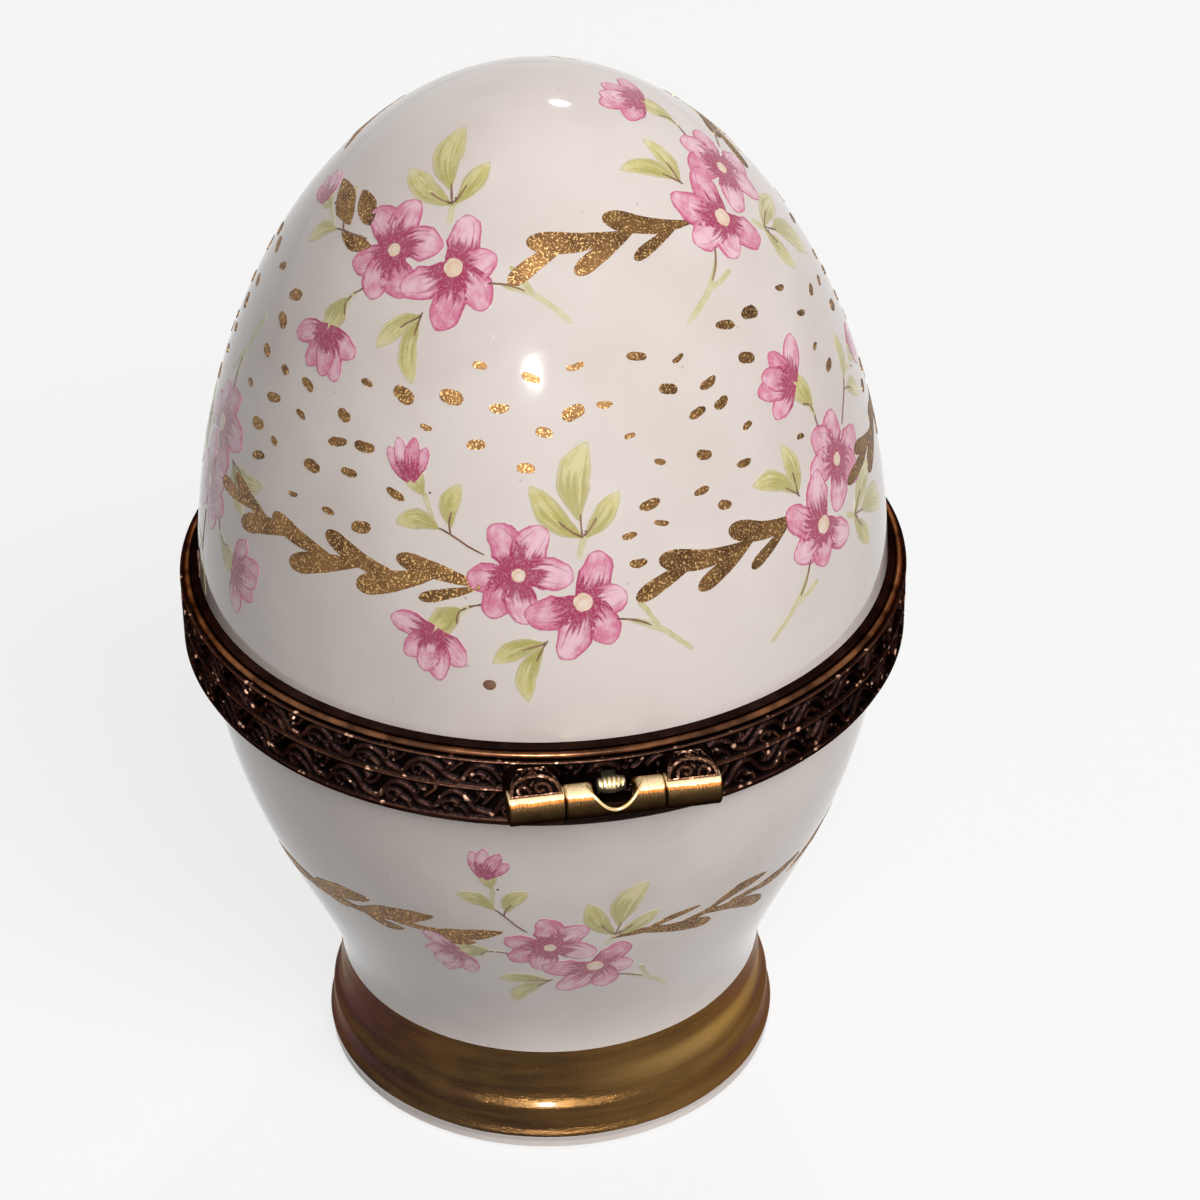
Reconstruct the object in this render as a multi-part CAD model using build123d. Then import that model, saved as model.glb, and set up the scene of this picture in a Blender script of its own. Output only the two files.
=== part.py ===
"""Hinged porcelain egg box on a flared foot, with a brass mount, a barrel clasp and a barrel hinge.

The origin is the middle of the foot on the table, +Z up. The clasp faces -Y and the hinge is at +Y.
"""
from build123d import *
from math import acos, atan2, cos, hypot, sin, sqrt
import os

os.makedirs("parts", exist_ok=True)

# Whole object
seam_height = 38.0            # the plane on which the lid rests
lid_rise = 38.0               # from that plane to the tip of the egg
seam_gap = 0.05               # daylight between the two mating faces
solder_gap = 0.02             # film between two brass pieces that are soldered
overrun = 1.0                 # how far a cutting tool runs past what it cuts

# Porcelain lid
lid_radius = 23.66            # where the lid leaves the upper mount
lid_wall = 2.2
egg_step = 0.01               # how much wider the lid is there than the bowl

# Porcelain bowl and foot
bowl_wall = 2.2
waist_radius = 15.24
waist_height = 7.55
foot_flare = 0.99             # how far the foot swells out from the waist
foot_swell_height = 1.7       # where the foot is widest
foot_tuck = 0.06              # how far it draws in again to the table
foot_edge_round = 0.25
foot_ring_width = 2.6
foot_recess_depth = 2.3
floor_thickness = 2.6

# Rebated rims that the mounts are cemented over
rebate_depth = 0.86
rim_wall = 1.7
cement_thickness = 0.15

# Brass mounts
mount_height = 2.9            # each mount, from the seam to the porcelain
flange_thickness = 0.55       # the flat face on the rim
sleeve_thickness = 1.25       # the sleeve under the chased strip
collar_lap = 0.06             # how far the collar stands proud of the lid
lip_thickness = 0.6           # locating lip inside the lower mount
lip_rise = 0.45
lip_clearance = 0.12
lip_break = 0.15              # bevel on the lip's outer edge

# Chased strips and their edge wires
strip_thickness = 0.8         # at the plain edges of the strips
strip_ground_depth = 0.25     # how deep the ground lies between those edges
strip_edge = 0.22             # height of each plain edge
bead_wire_radius = 0.24       # round wire over the upper strip
collar_height = 0.2           # sloping collar over that wire
edge_wire_thickness = 0.55    # plain wire under the lower strip
edge_wire_height = 0.38

# Barrels, the same tube for the clasp and the hinge
barrel_radius = 1.15
barrel_length = 13.7
barrel_axis_rise = 0.3        # above the seam
barrel_joint_gap = 0.08       # between neighbouring barrels
barrel_edge_break = 0.1
clasp_centre_length = 6.4
hinge_centre_length = 5.1
leaf_thickness = 0.28         # leaf at its free edge, outside the strip
leaf_round = 0.9              # corners of that edge
leaf_seam_clearance = 0.3     # from the seam to the top of a lower leaf
leaf_edge_clearance = 0.15    # from a leaf to the edge of its strip

# Hinge pin
pin_radius = 0.5
pin_clearance = 0.04
pin_head_radius = 0.8
pin_head_thickness = 0.3
pin_head_gap = 0.06

# Thumb catch
window_edge = 0.3             # strip left over the dark slot
pocket_wall = 0.25            # sleeve left behind the tongue
pocket_side_clearance = 0.2
pocket_clearance = 0.15       # beyond the ends of the tongue
tongue_width = 3.0
tongue_thickness = 0.35
tongue_inset = 0.05           # from the outside of the sleeve to its outer face
tongue_root_drop = 0.65       # below the top of the upper mount
tongue_tip_drop = 0.7         # below the seam
thumb_bead_radius = 0.6
thumb_bead_length = 1.9
thumb_bead_lobes = 6
thumb_bead_flute = 0.14       # depth of the flutes
thumb_bead_setback = 1.0      # how far its axis lies behind the barrel's
thumb_bead_rise = 0.64        # above the seam
thumb_shank_width = 1.0
thumb_shank_height = 0.6

# Saddle in the clasp's centre barrel, through which a nail reaches the bead
barrel_bore_radius = 0.8
saddle_width = 4.3            # at the top of the barrel
saddle_depth = 1.37           # below the top of the barrel
bead_room = 0.35              # clear space round the bead
bead_press_drop = 0.45        # room below the bead for its swing

# Shares that shape the outlines
egg_taper_share = 0.039       # how much narrower than an ellipse the egg is at its tip
egg_height_shares = (0.15, 0.3, 0.45, 0.6, 0.74, 0.86, 0.95)
bowl_outline_shares = ((0.195, 0.16), (0.344, 0.378), (0.5325, 0.641), (0.766, 0.869))
bowl_top_lean_share = 0.14    # how far the bowl leans out as it meets the mount
flare_lift_share = 0.34       # height of the point between the foot's swell and the waist
flare_swell_share = 0.64      # how much of the foot's extra radius that point has
wall_point_shares = (0.0, 0.12, 0.26, 0.4, 0.55, 0.7, 0.84, 0.94)
well_corner_share = 22 / 35   # radius of the well's corner, of the well's depth below the waist
saddle_lean_share = 0.52      # where the saddle's sides are halfway up
thumb_bead_end_share = 0.62   # radius of the bead at its ends

# Worked out from the sizes above
upper_mount_top = seam_height + mount_height
lower_mount_bottom = seam_height - mount_height
lid_face = seam_height + seam_gap
lid_tip = seam_height + lid_rise
bowl_radius = lid_radius - egg_step
foot_radius = waist_radius + foot_flare
foot_edge_radius = foot_radius - foot_tuck
rim_radius = lid_radius - rebate_depth
rim_inner_radius = rim_radius - rim_wall
sleeve_inner_radius = rim_radius + cement_thickness
sleeve_radius = sleeve_inner_radius + sleeve_thickness
lid_flange_inner = rim_inner_radius + lip_thickness + lip_clearance
strip_inner_radius = sleeve_radius + solder_gap
strip_radius = strip_inner_radius + strip_thickness
collar_foot = upper_mount_top - collar_height
upper_strip_top = collar_foot - 2 * bead_wire_radius - solder_gap
lower_strip_bottom = lower_mount_bottom + edge_wire_height + solder_gap
barrel_axis_radius = strip_radius + leaf_thickness + barrel_radius
barrel_height = seam_height + barrel_axis_rise
tongue_radius = sleeve_radius - tongue_inset
tongue_root = upper_mount_top - tongue_root_drop
tongue_tip = seam_height - tongue_tip_drop
pocket_radius = sleeve_inner_radius + pocket_wall
thumb_bead_axis_radius = barrel_axis_radius - thumb_bead_setback
thumb_bead_height = seam_height + thumb_bead_rise
floor_height = foot_recess_depth + floor_thickness
clasp, hinge = -1, 1          # the side along Y on which a barrel lies


def at(radius, height):
    """A point of a turned outline: its distance from the egg's axis and its height."""
    return Vector(radius, 0, height)


def turned(*edges):
    """The solid that an outline sweeps round the egg's axis."""
    return revolve(make_face(Curve() + list(edges)), Axis.Z)


def turned_band(inner_radius, outer_radius, low, high):
    """A plain ring of rectangular section."""
    corners = (at(inner_radius, low), at(outer_radius, low), at(outer_radius, high), at(inner_radius, high))
    return turned(Polyline(*corners, close=True))


def block(half_width, near, far, low, high, side):
    """A box centred on X that spans near to far from the egg's axis, on one side along Y."""
    return Pos(0, side * (near + far) / 2, (low + high) / 2) * Box(2 * half_width, far - near, high - low)


def inside_of(outline, wall, shares):
    """Points one wall inside an outline that runs upwards, at the given shares of its length."""
    points = []
    for share in shares:
        along = outline.tangent_at(share)
        points.append(outline.position_at(share) + Vector(-along.Z, 0, along.X) * wall)
    return points


def egg_radius(height):
    """Radius of the lid's outside at a height: half an ellipse, drawn in towards the tip."""
    share = (height - upper_mount_top) / (lid_tip - upper_mount_top)
    return lid_radius * sqrt(1 - share**2) * (1 - egg_taper_share * share)


# Porcelain and cement

def make_lid_shell():
    """The porcelain lid: an egg's upper half with a rebated rim."""
    upright, level = Vector(0, 0, 1), Vector(-1, 0, 0)
    heights = [upper_mount_top + share * (lid_tip - upper_mount_top) for share in egg_height_shares]
    side = [at(egg_radius(height), height) for height in heights]
    outside = Spline(at(lid_radius, upper_mount_top), *side, at(0, lid_tip), tangents=(upright, level))
    wall_points = inside_of(outside, lid_wall, wall_point_shares[1:])
    inside = Spline(at(rim_inner_radius, upper_mount_top), *wall_points, at(0, lid_tip - lid_wall),
                    tangents=(upright, level))
    rim = lid_face + flange_thickness + cement_thickness
    rebate = Polyline(at(lid_radius, upper_mount_top), at(rim_radius, upper_mount_top), at(rim_radius, rim),
                      at(rim_inner_radius, rim), at(rim_inner_radius, upper_mount_top))
    return turned(outside, rebate, inside, Line(at(0, lid_tip - lid_wall), at(0, lid_tip)))


def make_base_bowl():
    """The porcelain bowl, waist and flared foot: one cast piece with a rebated rim."""
    upright = Vector(0, 0, 1)
    rise, spread = lower_mount_bottom - waist_height, bowl_radius - waist_radius
    side = [at(waist_radius + out * spread, waist_height + up * rise) for up, out in bowl_outline_shares]
    bowl_side = Spline(at(waist_radius, waist_height), *side, at(bowl_radius, lower_mount_bottom),
                       tangents=(upright, Vector(bowl_top_lean_share, 0, 1)))
    flare_height = foot_swell_height + flare_lift_share * (waist_height - foot_swell_height)
    flare_radius = waist_radius + flare_swell_share * (foot_radius - waist_radius)
    flare = Spline(at(foot_radius, foot_swell_height), at(flare_radius, flare_height),
                   at(waist_radius, waist_height), tangents=(upright, upright))
    edge_top = at(foot_edge_radius, foot_edge_round)
    swell = Spline(edge_top, at(foot_radius, foot_swell_height),
                   tangents=(Vector(foot_radius - foot_edge_radius, 0, foot_edge_round), upright))
    ring_inner_radius = foot_edge_radius - foot_ring_width
    underside = Polyline(at(0, foot_recess_depth), at(ring_inner_radius - foot_edge_round, foot_recess_depth),
                         at(ring_inner_radius, 0), at(foot_edge_radius - foot_edge_round, 0), edge_top)
    rim = seam_height - flange_thickness - cement_thickness
    inner_edge = at(rim_inner_radius, lower_mount_bottom)
    rebate = Polyline(at(bowl_radius, lower_mount_bottom), at(rim_radius, lower_mount_bottom),
                      at(rim_radius, rim), at(rim_inner_radius, rim), inner_edge)
    inside = Spline(*inside_of(bowl_side, bowl_wall, wall_point_shares), inner_edge,
                    tangents=(upright, upright))
    well_radius, round_radius = waist_radius - bowl_wall, well_corner_share * (waist_height - floor_height)
    round_top = at(well_radius, floor_height + round_radius)
    floor_edge = at(well_radius - round_radius, floor_height)
    well = Line(at(well_radius, waist_height), round_top)
    corner = TangentArc(round_top, floor_edge, tangent=(0, 0, -1))
    floor = Polyline(floor_edge, at(0, floor_height), at(0, foot_recess_depth))
    return turned(underside, swell, flare, bowl_side, rebate, inside, well, corner, floor)


def make_cement_bed(face, back, inner_radius, towards):
    """Cement between a rim and its mount; towards is 1 where the porcelain lies above the face."""
    bed, top = face + towards * flange_thickness, face + towards * (flange_thickness + cement_thickness)
    return turned(Polyline(
        at(inner_radius, bed), at(sleeve_inner_radius, bed), at(sleeve_inner_radius, back),
        at(rim_radius, back), at(rim_radius, top), at(inner_radius, top), close=True))


# Mounts

def tongue_pocket(low, high):
    """Room for the tongue, cut into a sleeve from outside."""
    return block(tongue_width / 2 + pocket_side_clearance, pocket_radius, sleeve_radius + overrun,
                 low, high, clasp)


def make_base_bezel():
    """Lower mount: sleeve, flat face and the lip that locates the lid."""
    flange_back = seam_height - flange_thickness
    lip_radius, lip_top = rim_inner_radius + lip_thickness, seam_height + lip_rise
    bezel = turned(Polyline(
        at(rim_inner_radius, flange_back), at(sleeve_inner_radius, flange_back),
        at(sleeve_inner_radius, lower_mount_bottom), at(sleeve_radius, lower_mount_bottom),
        at(sleeve_radius, seam_height), at(lip_radius, seam_height), at(lip_radius, lip_top - lip_break),
        at(lip_radius - lip_break, lip_top), at(rim_inner_radius, lip_top), close=True))
    return bezel - tongue_pocket(tongue_tip - pocket_clearance, seam_height + overrun)


def make_lid_bezel():
    """Upper mount: flat face, sleeve and the plain collar that closes on the lid."""
    flange_back = lid_face + flange_thickness
    bezel = turned(Polyline(
        at(lid_flange_inner, lid_face), at(sleeve_radius, lid_face), at(sleeve_radius, collar_foot),
        at(lid_radius + collar_lap, upper_mount_top), at(sleeve_inner_radius, upper_mount_top),
        at(sleeve_inner_radius, flange_back), at(lid_flange_inner, flange_back), close=True))
    return bezel - tongue_pocket(lid_face - overrun, tongue_root + pocket_clearance)


def make_strip(low, high):
    """A chased strip before chasing: plain edges with a sunk ground between them."""
    ground_radius = strip_radius - strip_ground_depth
    return turned(Polyline(
        at(strip_inner_radius, low), at(strip_radius, low), at(strip_radius, low + strip_edge),
        at(ground_radius, low + strip_edge), at(ground_radius, high - strip_edge),
        at(strip_radius, high - strip_edge), at(strip_radius, high), at(strip_inner_radius, high),
        close=True))


def bead_clearance():
    """Room for the thumb bead in whatever lies below and behind it."""
    low = thumb_bead_height - thumb_bead_radius - bead_press_drop
    return block(thumb_bead_length / 2 + bead_room, sleeve_radius + solder_gap / 2,
                 thumb_bead_axis_radius + thumb_bead_radius + bead_room / 2, low,
                 barrel_height + barrel_radius + overrun, clasp)


def make_base_strip():
    """Lower chased strip, notched where the thumb bead swings in."""
    return make_strip(lower_strip_bottom, seam_height) - bead_clearance()


def make_lid_strip():
    """Upper chased strip with the slot that the catch works in."""
    window = block(clasp_centre_length / 2, sleeve_radius, strip_radius + overrun,
                   lid_face - overrun, upper_strip_top - window_edge, clasp)
    return make_strip(lid_face, upper_strip_top) - window


def make_bead_wire():
    """Round polished wire between the upper strip and the collar."""
    ring_radius = strip_inner_radius + bead_wire_radius
    return Pos(0, 0, upper_strip_top + solder_gap + bead_wire_radius) * Torus(ring_radius, bead_wire_radius)


def make_edge_wire():
    """Flat plain wire that finishes the lower strip."""
    return turned_band(strip_inner_radius, strip_inner_radius + edge_wire_thickness, lower_mount_bottom,
                       lower_strip_bottom - solder_gap)


# Barrels of the clasp and the hinge

def barrel(x_low, x_high, side):
    """A length of barrel with its end edges broken."""
    place = Pos((x_low + x_high) / 2, side * barrel_axis_radius, barrel_height) * Rot(0, 90, 0)
    rod = place * Cylinder(barrel_radius, x_high - x_low)
    return chamfer(rod.edges().filter_by(GeomType.CIRCLE), barrel_edge_break)


def bore(x_low, x_high, side, radius):
    """A drill along a barrel's axis."""
    place = Pos((x_low + x_high) / 2, side * barrel_axis_radius, barrel_height) * Rot(0, 90, 0)
    return place * Cylinder(radius, x_high - x_low + 2 * overrun)


def leaf(x_low, x_high, side, free_height, near_height):
    """The leaf that carries a barrel: it hugs the strip and runs onto the barrel's outer side."""
    free_radius = strip_radius + leaf_thickness
    across, up = free_radius - barrel_axis_radius, free_height - barrel_height
    swing = acos(barrel_radius / hypot(across, up))
    angle = atan2(up, across) - swing if up > 0 else atan2(up, across) + swing
    touch_radius = barrel_axis_radius + barrel_radius * cos(angle)
    touch_height = barrel_height + barrel_radius * sin(angle)
    back = sleeve_radius
    outline = [(back, free_height), (free_radius, free_height), (touch_radius, touch_height),
               (barrel_axis_radius, near_height), (back, near_height)]
    corners = [Vector(x_low, side * radius, height) for radius, height in outline]
    wedge = extrude(make_face(Polyline(*corners, close=True)), amount=x_high - x_low, dir=(1, 0, 0))
    low, high = min(free_height, barrel_height), max(free_height, barrel_height)
    plate = Pos((x_low + x_high) / 2, side * barrel_axis_radius, (low + high) / 2) * Box(
        x_high - x_low, 2 * (barrel_axis_radius - back), high - low)
    free_edges = plate.edges().filter_by(Axis.Y).group_by(Axis.Z)[-1 if up > 0 else 0]
    plate = fillet(free_edges, leaf_round)
    return (wedge & plate) - Pos(0, 0, barrel_height) * Cylinder(
        strip_radius + solder_gap, 2 * (mount_height + overrun))


def upper_leaf(x_low, x_high, side):
    """A leaf soldered over the upper strip."""
    return leaf(x_low, x_high, side, upper_strip_top - leaf_edge_clearance, lid_face)


def lower_leaf(x_low, x_high, side):
    """A leaf soldered over the lower strip."""
    return leaf(x_low, x_high, side, lower_strip_bottom + leaf_edge_clearance,
                seam_height - leaf_seam_clearance)


def side_spans(centre_length):
    """The two lengths of barrel on either side of a centre barrel, low X first."""
    inner, outer = centre_length / 2 + barrel_joint_gap, barrel_length / 2
    return (-outer, -inner), (inner, outer)


def make_clasp_side(x_low, x_high):
    """One of the two barrels of the clasp that stay with the lid."""
    return barrel(x_low, x_high, clasp) + upper_leaf(x_low, x_high, clasp)


def make_clasp_centre():
    """The clasp's centre barrel, a tube with a saddle cut in its top."""
    half = clasp_centre_length / 2
    piece = barrel(-half, half, clasp) + lower_leaf(-half, half, clasp)
    top = barrel_height + barrel_radius
    lean = saddle_lean_share * saddle_width / 2
    dip = [(-saddle_width / 2, top), (-lean, top - saddle_depth / 2), (0, top - saddle_depth),
           (lean, top - saddle_depth / 2), (saddle_width / 2, top)]
    points = [Vector(x, 0, height) for x, height in dip]
    curve = Spline(*points, tangents=(Vector(1, 0, 0), Vector(1, 0, 0)))
    lid_line = Polyline(points[-1], points[-1] + Vector(0, 0, overrun), points[0] + Vector(0, 0, overrun),
                        points[0])
    tool = extrude(make_face(Curve() + [curve, lid_line]),
                   amount=barrel_axis_radius + barrel_radius + overrun, dir=(0, clasp, 0))
    return piece - bore(-half, half, clasp, barrel_bore_radius) - tool - bead_clearance()


def make_hinge_side(x_low, x_high):
    """One of the two knuckles that turn on the pin with the lid."""
    knuckle = barrel(x_low, x_high, hinge) + upper_leaf(x_low, x_high, hinge)
    return knuckle - bore(x_low, x_high, hinge, pin_radius + pin_clearance)


def make_hinge_centre():
    """The knuckle that is soldered to the lower mount and grips the pin."""
    half = hinge_centre_length / 2
    return barrel(-half, half, hinge) + lower_leaf(-half, half, hinge) - bore(-half, half, hinge, pin_radius)


def make_hinge_pin():
    """The pin with its two riveted heads."""
    place = Pos(0, hinge * barrel_axis_radius, barrel_height) * Rot(0, 90, 0)
    reach = barrel_length / 2 + pin_head_gap
    pin = place * Cylinder(pin_radius, 2 * reach)
    for end in (-1, 1):
        middle = Pos(0, 0, end * (reach + pin_head_thickness / 2))
        head = middle * Cylinder(pin_head_radius, pin_head_thickness)
        rim = head.edges().group_by(Axis.Z)[-1 if end > 0 else 0]
        pin += place * chamfer(rim, pin_head_thickness / 2)
    return pin


# Thumb catch

def make_tongue():
    """The spring strip that carries the thumb bead and reaches into the lower mount."""
    return block(tongue_width / 2, tongue_radius - tongue_thickness, tongue_radius,
                 tongue_tip, tongue_root, clasp)


def make_thumb_bead():
    """The fluted bead that a nail presses, on a short shank."""
    def envelope(x):
        share = 2 * x / thumb_bead_length
        return thumb_bead_radius * (1 - (1 - thumb_bead_end_share) * share**2)

    centre = Vector(0, clasp * thumb_bead_axis_radius, thumb_bead_height)
    lobe = thumb_bead_length / thumb_bead_lobes
    start = -thumb_bead_length / 2
    outline = []
    for index in range(thumb_bead_lobes):
        left, right = start + index * lobe, start + (index + 1) * lobe
        middle = (left + right) / 2
        outline.append(ThreePointArc(
            centre + Vector(left, 0, envelope(left) - thumb_bead_flute),
            centre + Vector(middle, 0, envelope(middle)),
            centre + Vector(right, 0, envelope(right) - thumb_bead_flute)))
    ends = [centre + Vector(x, 0, 0) for x in (-start, start)]
    outline.append(Polyline(outline[-1] @ 1, ends[0], ends[1], outline[0] @ 0))
    bead = revolve(make_face(Curve() + outline), Axis(centre, (1, 0, 0)))
    half_height = thumb_shank_height / 2
    shank = block(thumb_shank_width / 2, tongue_radius, thumb_bead_axis_radius,
                  thumb_bead_height - half_height, thumb_bead_height + half_height, clasp)
    return bead + shank


clasp_left, clasp_right = side_spans(clasp_centre_length)
hinge_left, hinge_right = side_spans(hinge_centre_length)

pieces = {
    "base_bowl": make_base_bowl(),
    "base_cement_bed": make_cement_bed(seam_height, lower_mount_bottom, rim_inner_radius, -1),
    "base_bezel": make_base_bezel(),
    "base_chased_strip": make_base_strip(),
    "base_edge_wire": make_edge_wire(),
    "clasp_centre_barrel": make_clasp_centre(),
    "hinge_centre_knuckle": make_hinge_centre(),
    "hinge_pin": make_hinge_pin(),
    "lid_shell": make_lid_shell(),
    "lid_cement_bed": make_cement_bed(lid_face, upper_mount_top, lid_flange_inner, 1),
    "lid_bezel": make_lid_bezel(),
    "lid_chased_strip": make_lid_strip(),
    "lid_bead_wire": make_bead_wire(),
    "clasp_left_barrel": make_clasp_side(*clasp_left),
    "clasp_right_barrel": make_clasp_side(*clasp_right),
    "hinge_left_knuckle": make_hinge_side(*hinge_left),
    "hinge_right_knuckle": make_hinge_side(*hinge_right),
    "clasp_tongue": make_tongue(),
    "clasp_thumb_bead": make_thumb_bead(),
}

for node, shape in pieces.items():
    export_step(shape, f"parts/{node}.step")
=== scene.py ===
"""A hinged porcelain egg box on a gilded foot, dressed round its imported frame.

Sizes are millimetres in the box's own frame: the middle of the foot on the table, +Z up, the clasp
towards -Y.
"""
import logging
import math
from dataclasses import dataclass, field
from enum import Enum
from typing import Callable, Mapping, Sequence

import bpy
import numpy as np
from mathutils import Matrix, Vector


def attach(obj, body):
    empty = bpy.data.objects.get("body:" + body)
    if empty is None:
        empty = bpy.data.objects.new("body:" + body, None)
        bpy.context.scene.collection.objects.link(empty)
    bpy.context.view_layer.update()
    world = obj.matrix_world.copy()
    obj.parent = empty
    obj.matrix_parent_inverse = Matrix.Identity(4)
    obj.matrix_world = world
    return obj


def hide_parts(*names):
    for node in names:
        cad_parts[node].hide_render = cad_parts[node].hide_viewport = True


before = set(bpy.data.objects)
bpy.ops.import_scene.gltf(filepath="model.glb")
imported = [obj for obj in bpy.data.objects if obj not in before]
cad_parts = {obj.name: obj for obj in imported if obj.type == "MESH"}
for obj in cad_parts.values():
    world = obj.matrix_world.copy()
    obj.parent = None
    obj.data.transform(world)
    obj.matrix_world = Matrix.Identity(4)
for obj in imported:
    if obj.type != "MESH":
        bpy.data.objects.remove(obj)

log = logging.getLogger("egg_box")

MM = 0.001
SEAM = 38.0
TURN = 2 * math.pi
Point = tuple[float, float]
Colour = tuple[float, float, float, float]


def paint(red: int, green: int, blue: int) -> Colour:
    """Turns a colour as it looks on a screen into the linear one that a shader takes.

    Args:
        red: Red from 0 to 255.
        green: Green from 0 to 255.
        blue: Blue from 0 to 255.

    Returns:
        The linear colour, opaque.
    """
    def linear(value: int) -> float:
        """One channel, linear."""
        share = value / 255
        return share / 12.92 if share <= 0.04045 else ((share + 0.055) / 1.055) ** 2.4

    return linear(red), linear(green), linear(blue), 1.0


# Shader expressions

class NodeTree:
    """The nodes of a material or of the world."""

    def __init__(self, tree: bpy.types.NodeTree) -> None:
        """Starts with no nodes."""
        self.nodes, self.links = tree.nodes, tree.links
        self.nodes.clear()

    def node(self, kind: str, settings: Mapping[str, object] | None = None,
             values: Mapping[str | int, object] | None = None) -> bpy.types.Node:
        """Adds a node, sets it up and fills its sockets.

        Args:
            kind: The node's type.
            settings: Its own settings.
            values: What each of its sockets takes, a value or a signal.

        Returns:
            The node.
        """
        made = self.nodes.new(kind)
        for name, value in (settings or {}).items():
            setattr(made, name, value)
        for name, value in (values or {}).items():
            self.fill(made.inputs[name], value)
        return made

    def signal(self, kind: str, settings: Mapping[str, object] | None = None,
               values: Mapping[str | int, object] | None = None, output: str | int = 0) -> "Signal":
        """Adds a node and gives one of its outputs.

        Args:
            kind: The node's type.
            settings: Its own settings.
            values: What each of its sockets takes, a value or a signal.
            output: Which output is wanted.

        Returns:
            The output.
        """
        return Signal(self, self.node(kind, settings, values).outputs[output])

    def fill(self, socket: bpy.types.NodeSocket, value: object) -> None:
        """Links a signal to a socket, or sets its value."""
        if isinstance(value, Signal):
            self.links.new(value.socket, socket)
        else:
            socket.default_value = value


class Signal:
    """A socket that takes part in sums: each expression adds the Math node that works it out."""

    def __init__(self, tree: NodeTree, socket: bpy.types.NodeSocket) -> None:
        """Wraps a socket of a node tree."""
        self.tree, self.socket = tree, socket

    def math(self, operation: str, *others: "Signal | float", first: float | None = None) -> "Signal":
        """Adds a Math node.

        Args:
            operation: The node's operation.
            others: The values after this one.
            first: A number that comes before this signal, where the order matters.

        Returns:
            What the node gives.
        """
        values = (self, *others) if first is None else (first, self, *others)
        return self.tree.signal("ShaderNodeMath", {"operation": operation}, dict(enumerate(values)))

    def __add__(self, other: "Signal | float") -> "Signal":
        """The sum."""
        return self.math("ADD", other)

    __radd__ = __add__

    def __sub__(self, other: "Signal | float") -> "Signal":
        """The difference."""
        return self.math("SUBTRACT", other)

    def __rsub__(self, other: float) -> "Signal":
        """A number less this."""
        return self.math("SUBTRACT", first=other)

    def __mul__(self, other: "Signal | float") -> "Signal":
        """The product."""
        return self.math("MULTIPLY", other)

    __rmul__ = __mul__

    def __truediv__(self, other: "Signal | float") -> "Signal":
        """The quotient."""
        return self.math("DIVIDE", other)

    def __pow__(self, power: float) -> "Signal":
        """This raised to a power."""
        return self.math("POWER", power)

    def __abs__(self) -> "Signal":
        """The size without its sign."""
        return self.math("ABSOLUTE")

    def most(self, other: "Signal | float") -> "Signal":
        """The larger of the two."""
        return self.math("MAXIMUM", other)

    def step(self, low: float, high: float) -> "Signal":
        """Rises smoothly from 0 at low to 1 at high, or falls where high is the smaller.

        Args:
            low: Where the step starts.
            high: Where it ends.

        Returns:
            The step.
        """
        rise = self.tree.signal("ShaderNodeMapRange", {"interpolation_type": "SMOOTHSTEP"}, {
            "Value": self, "From Min": min(low, high), "From Max": max(low, high)}, "Result")
        return rise if low < high else 1 - rise


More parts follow.
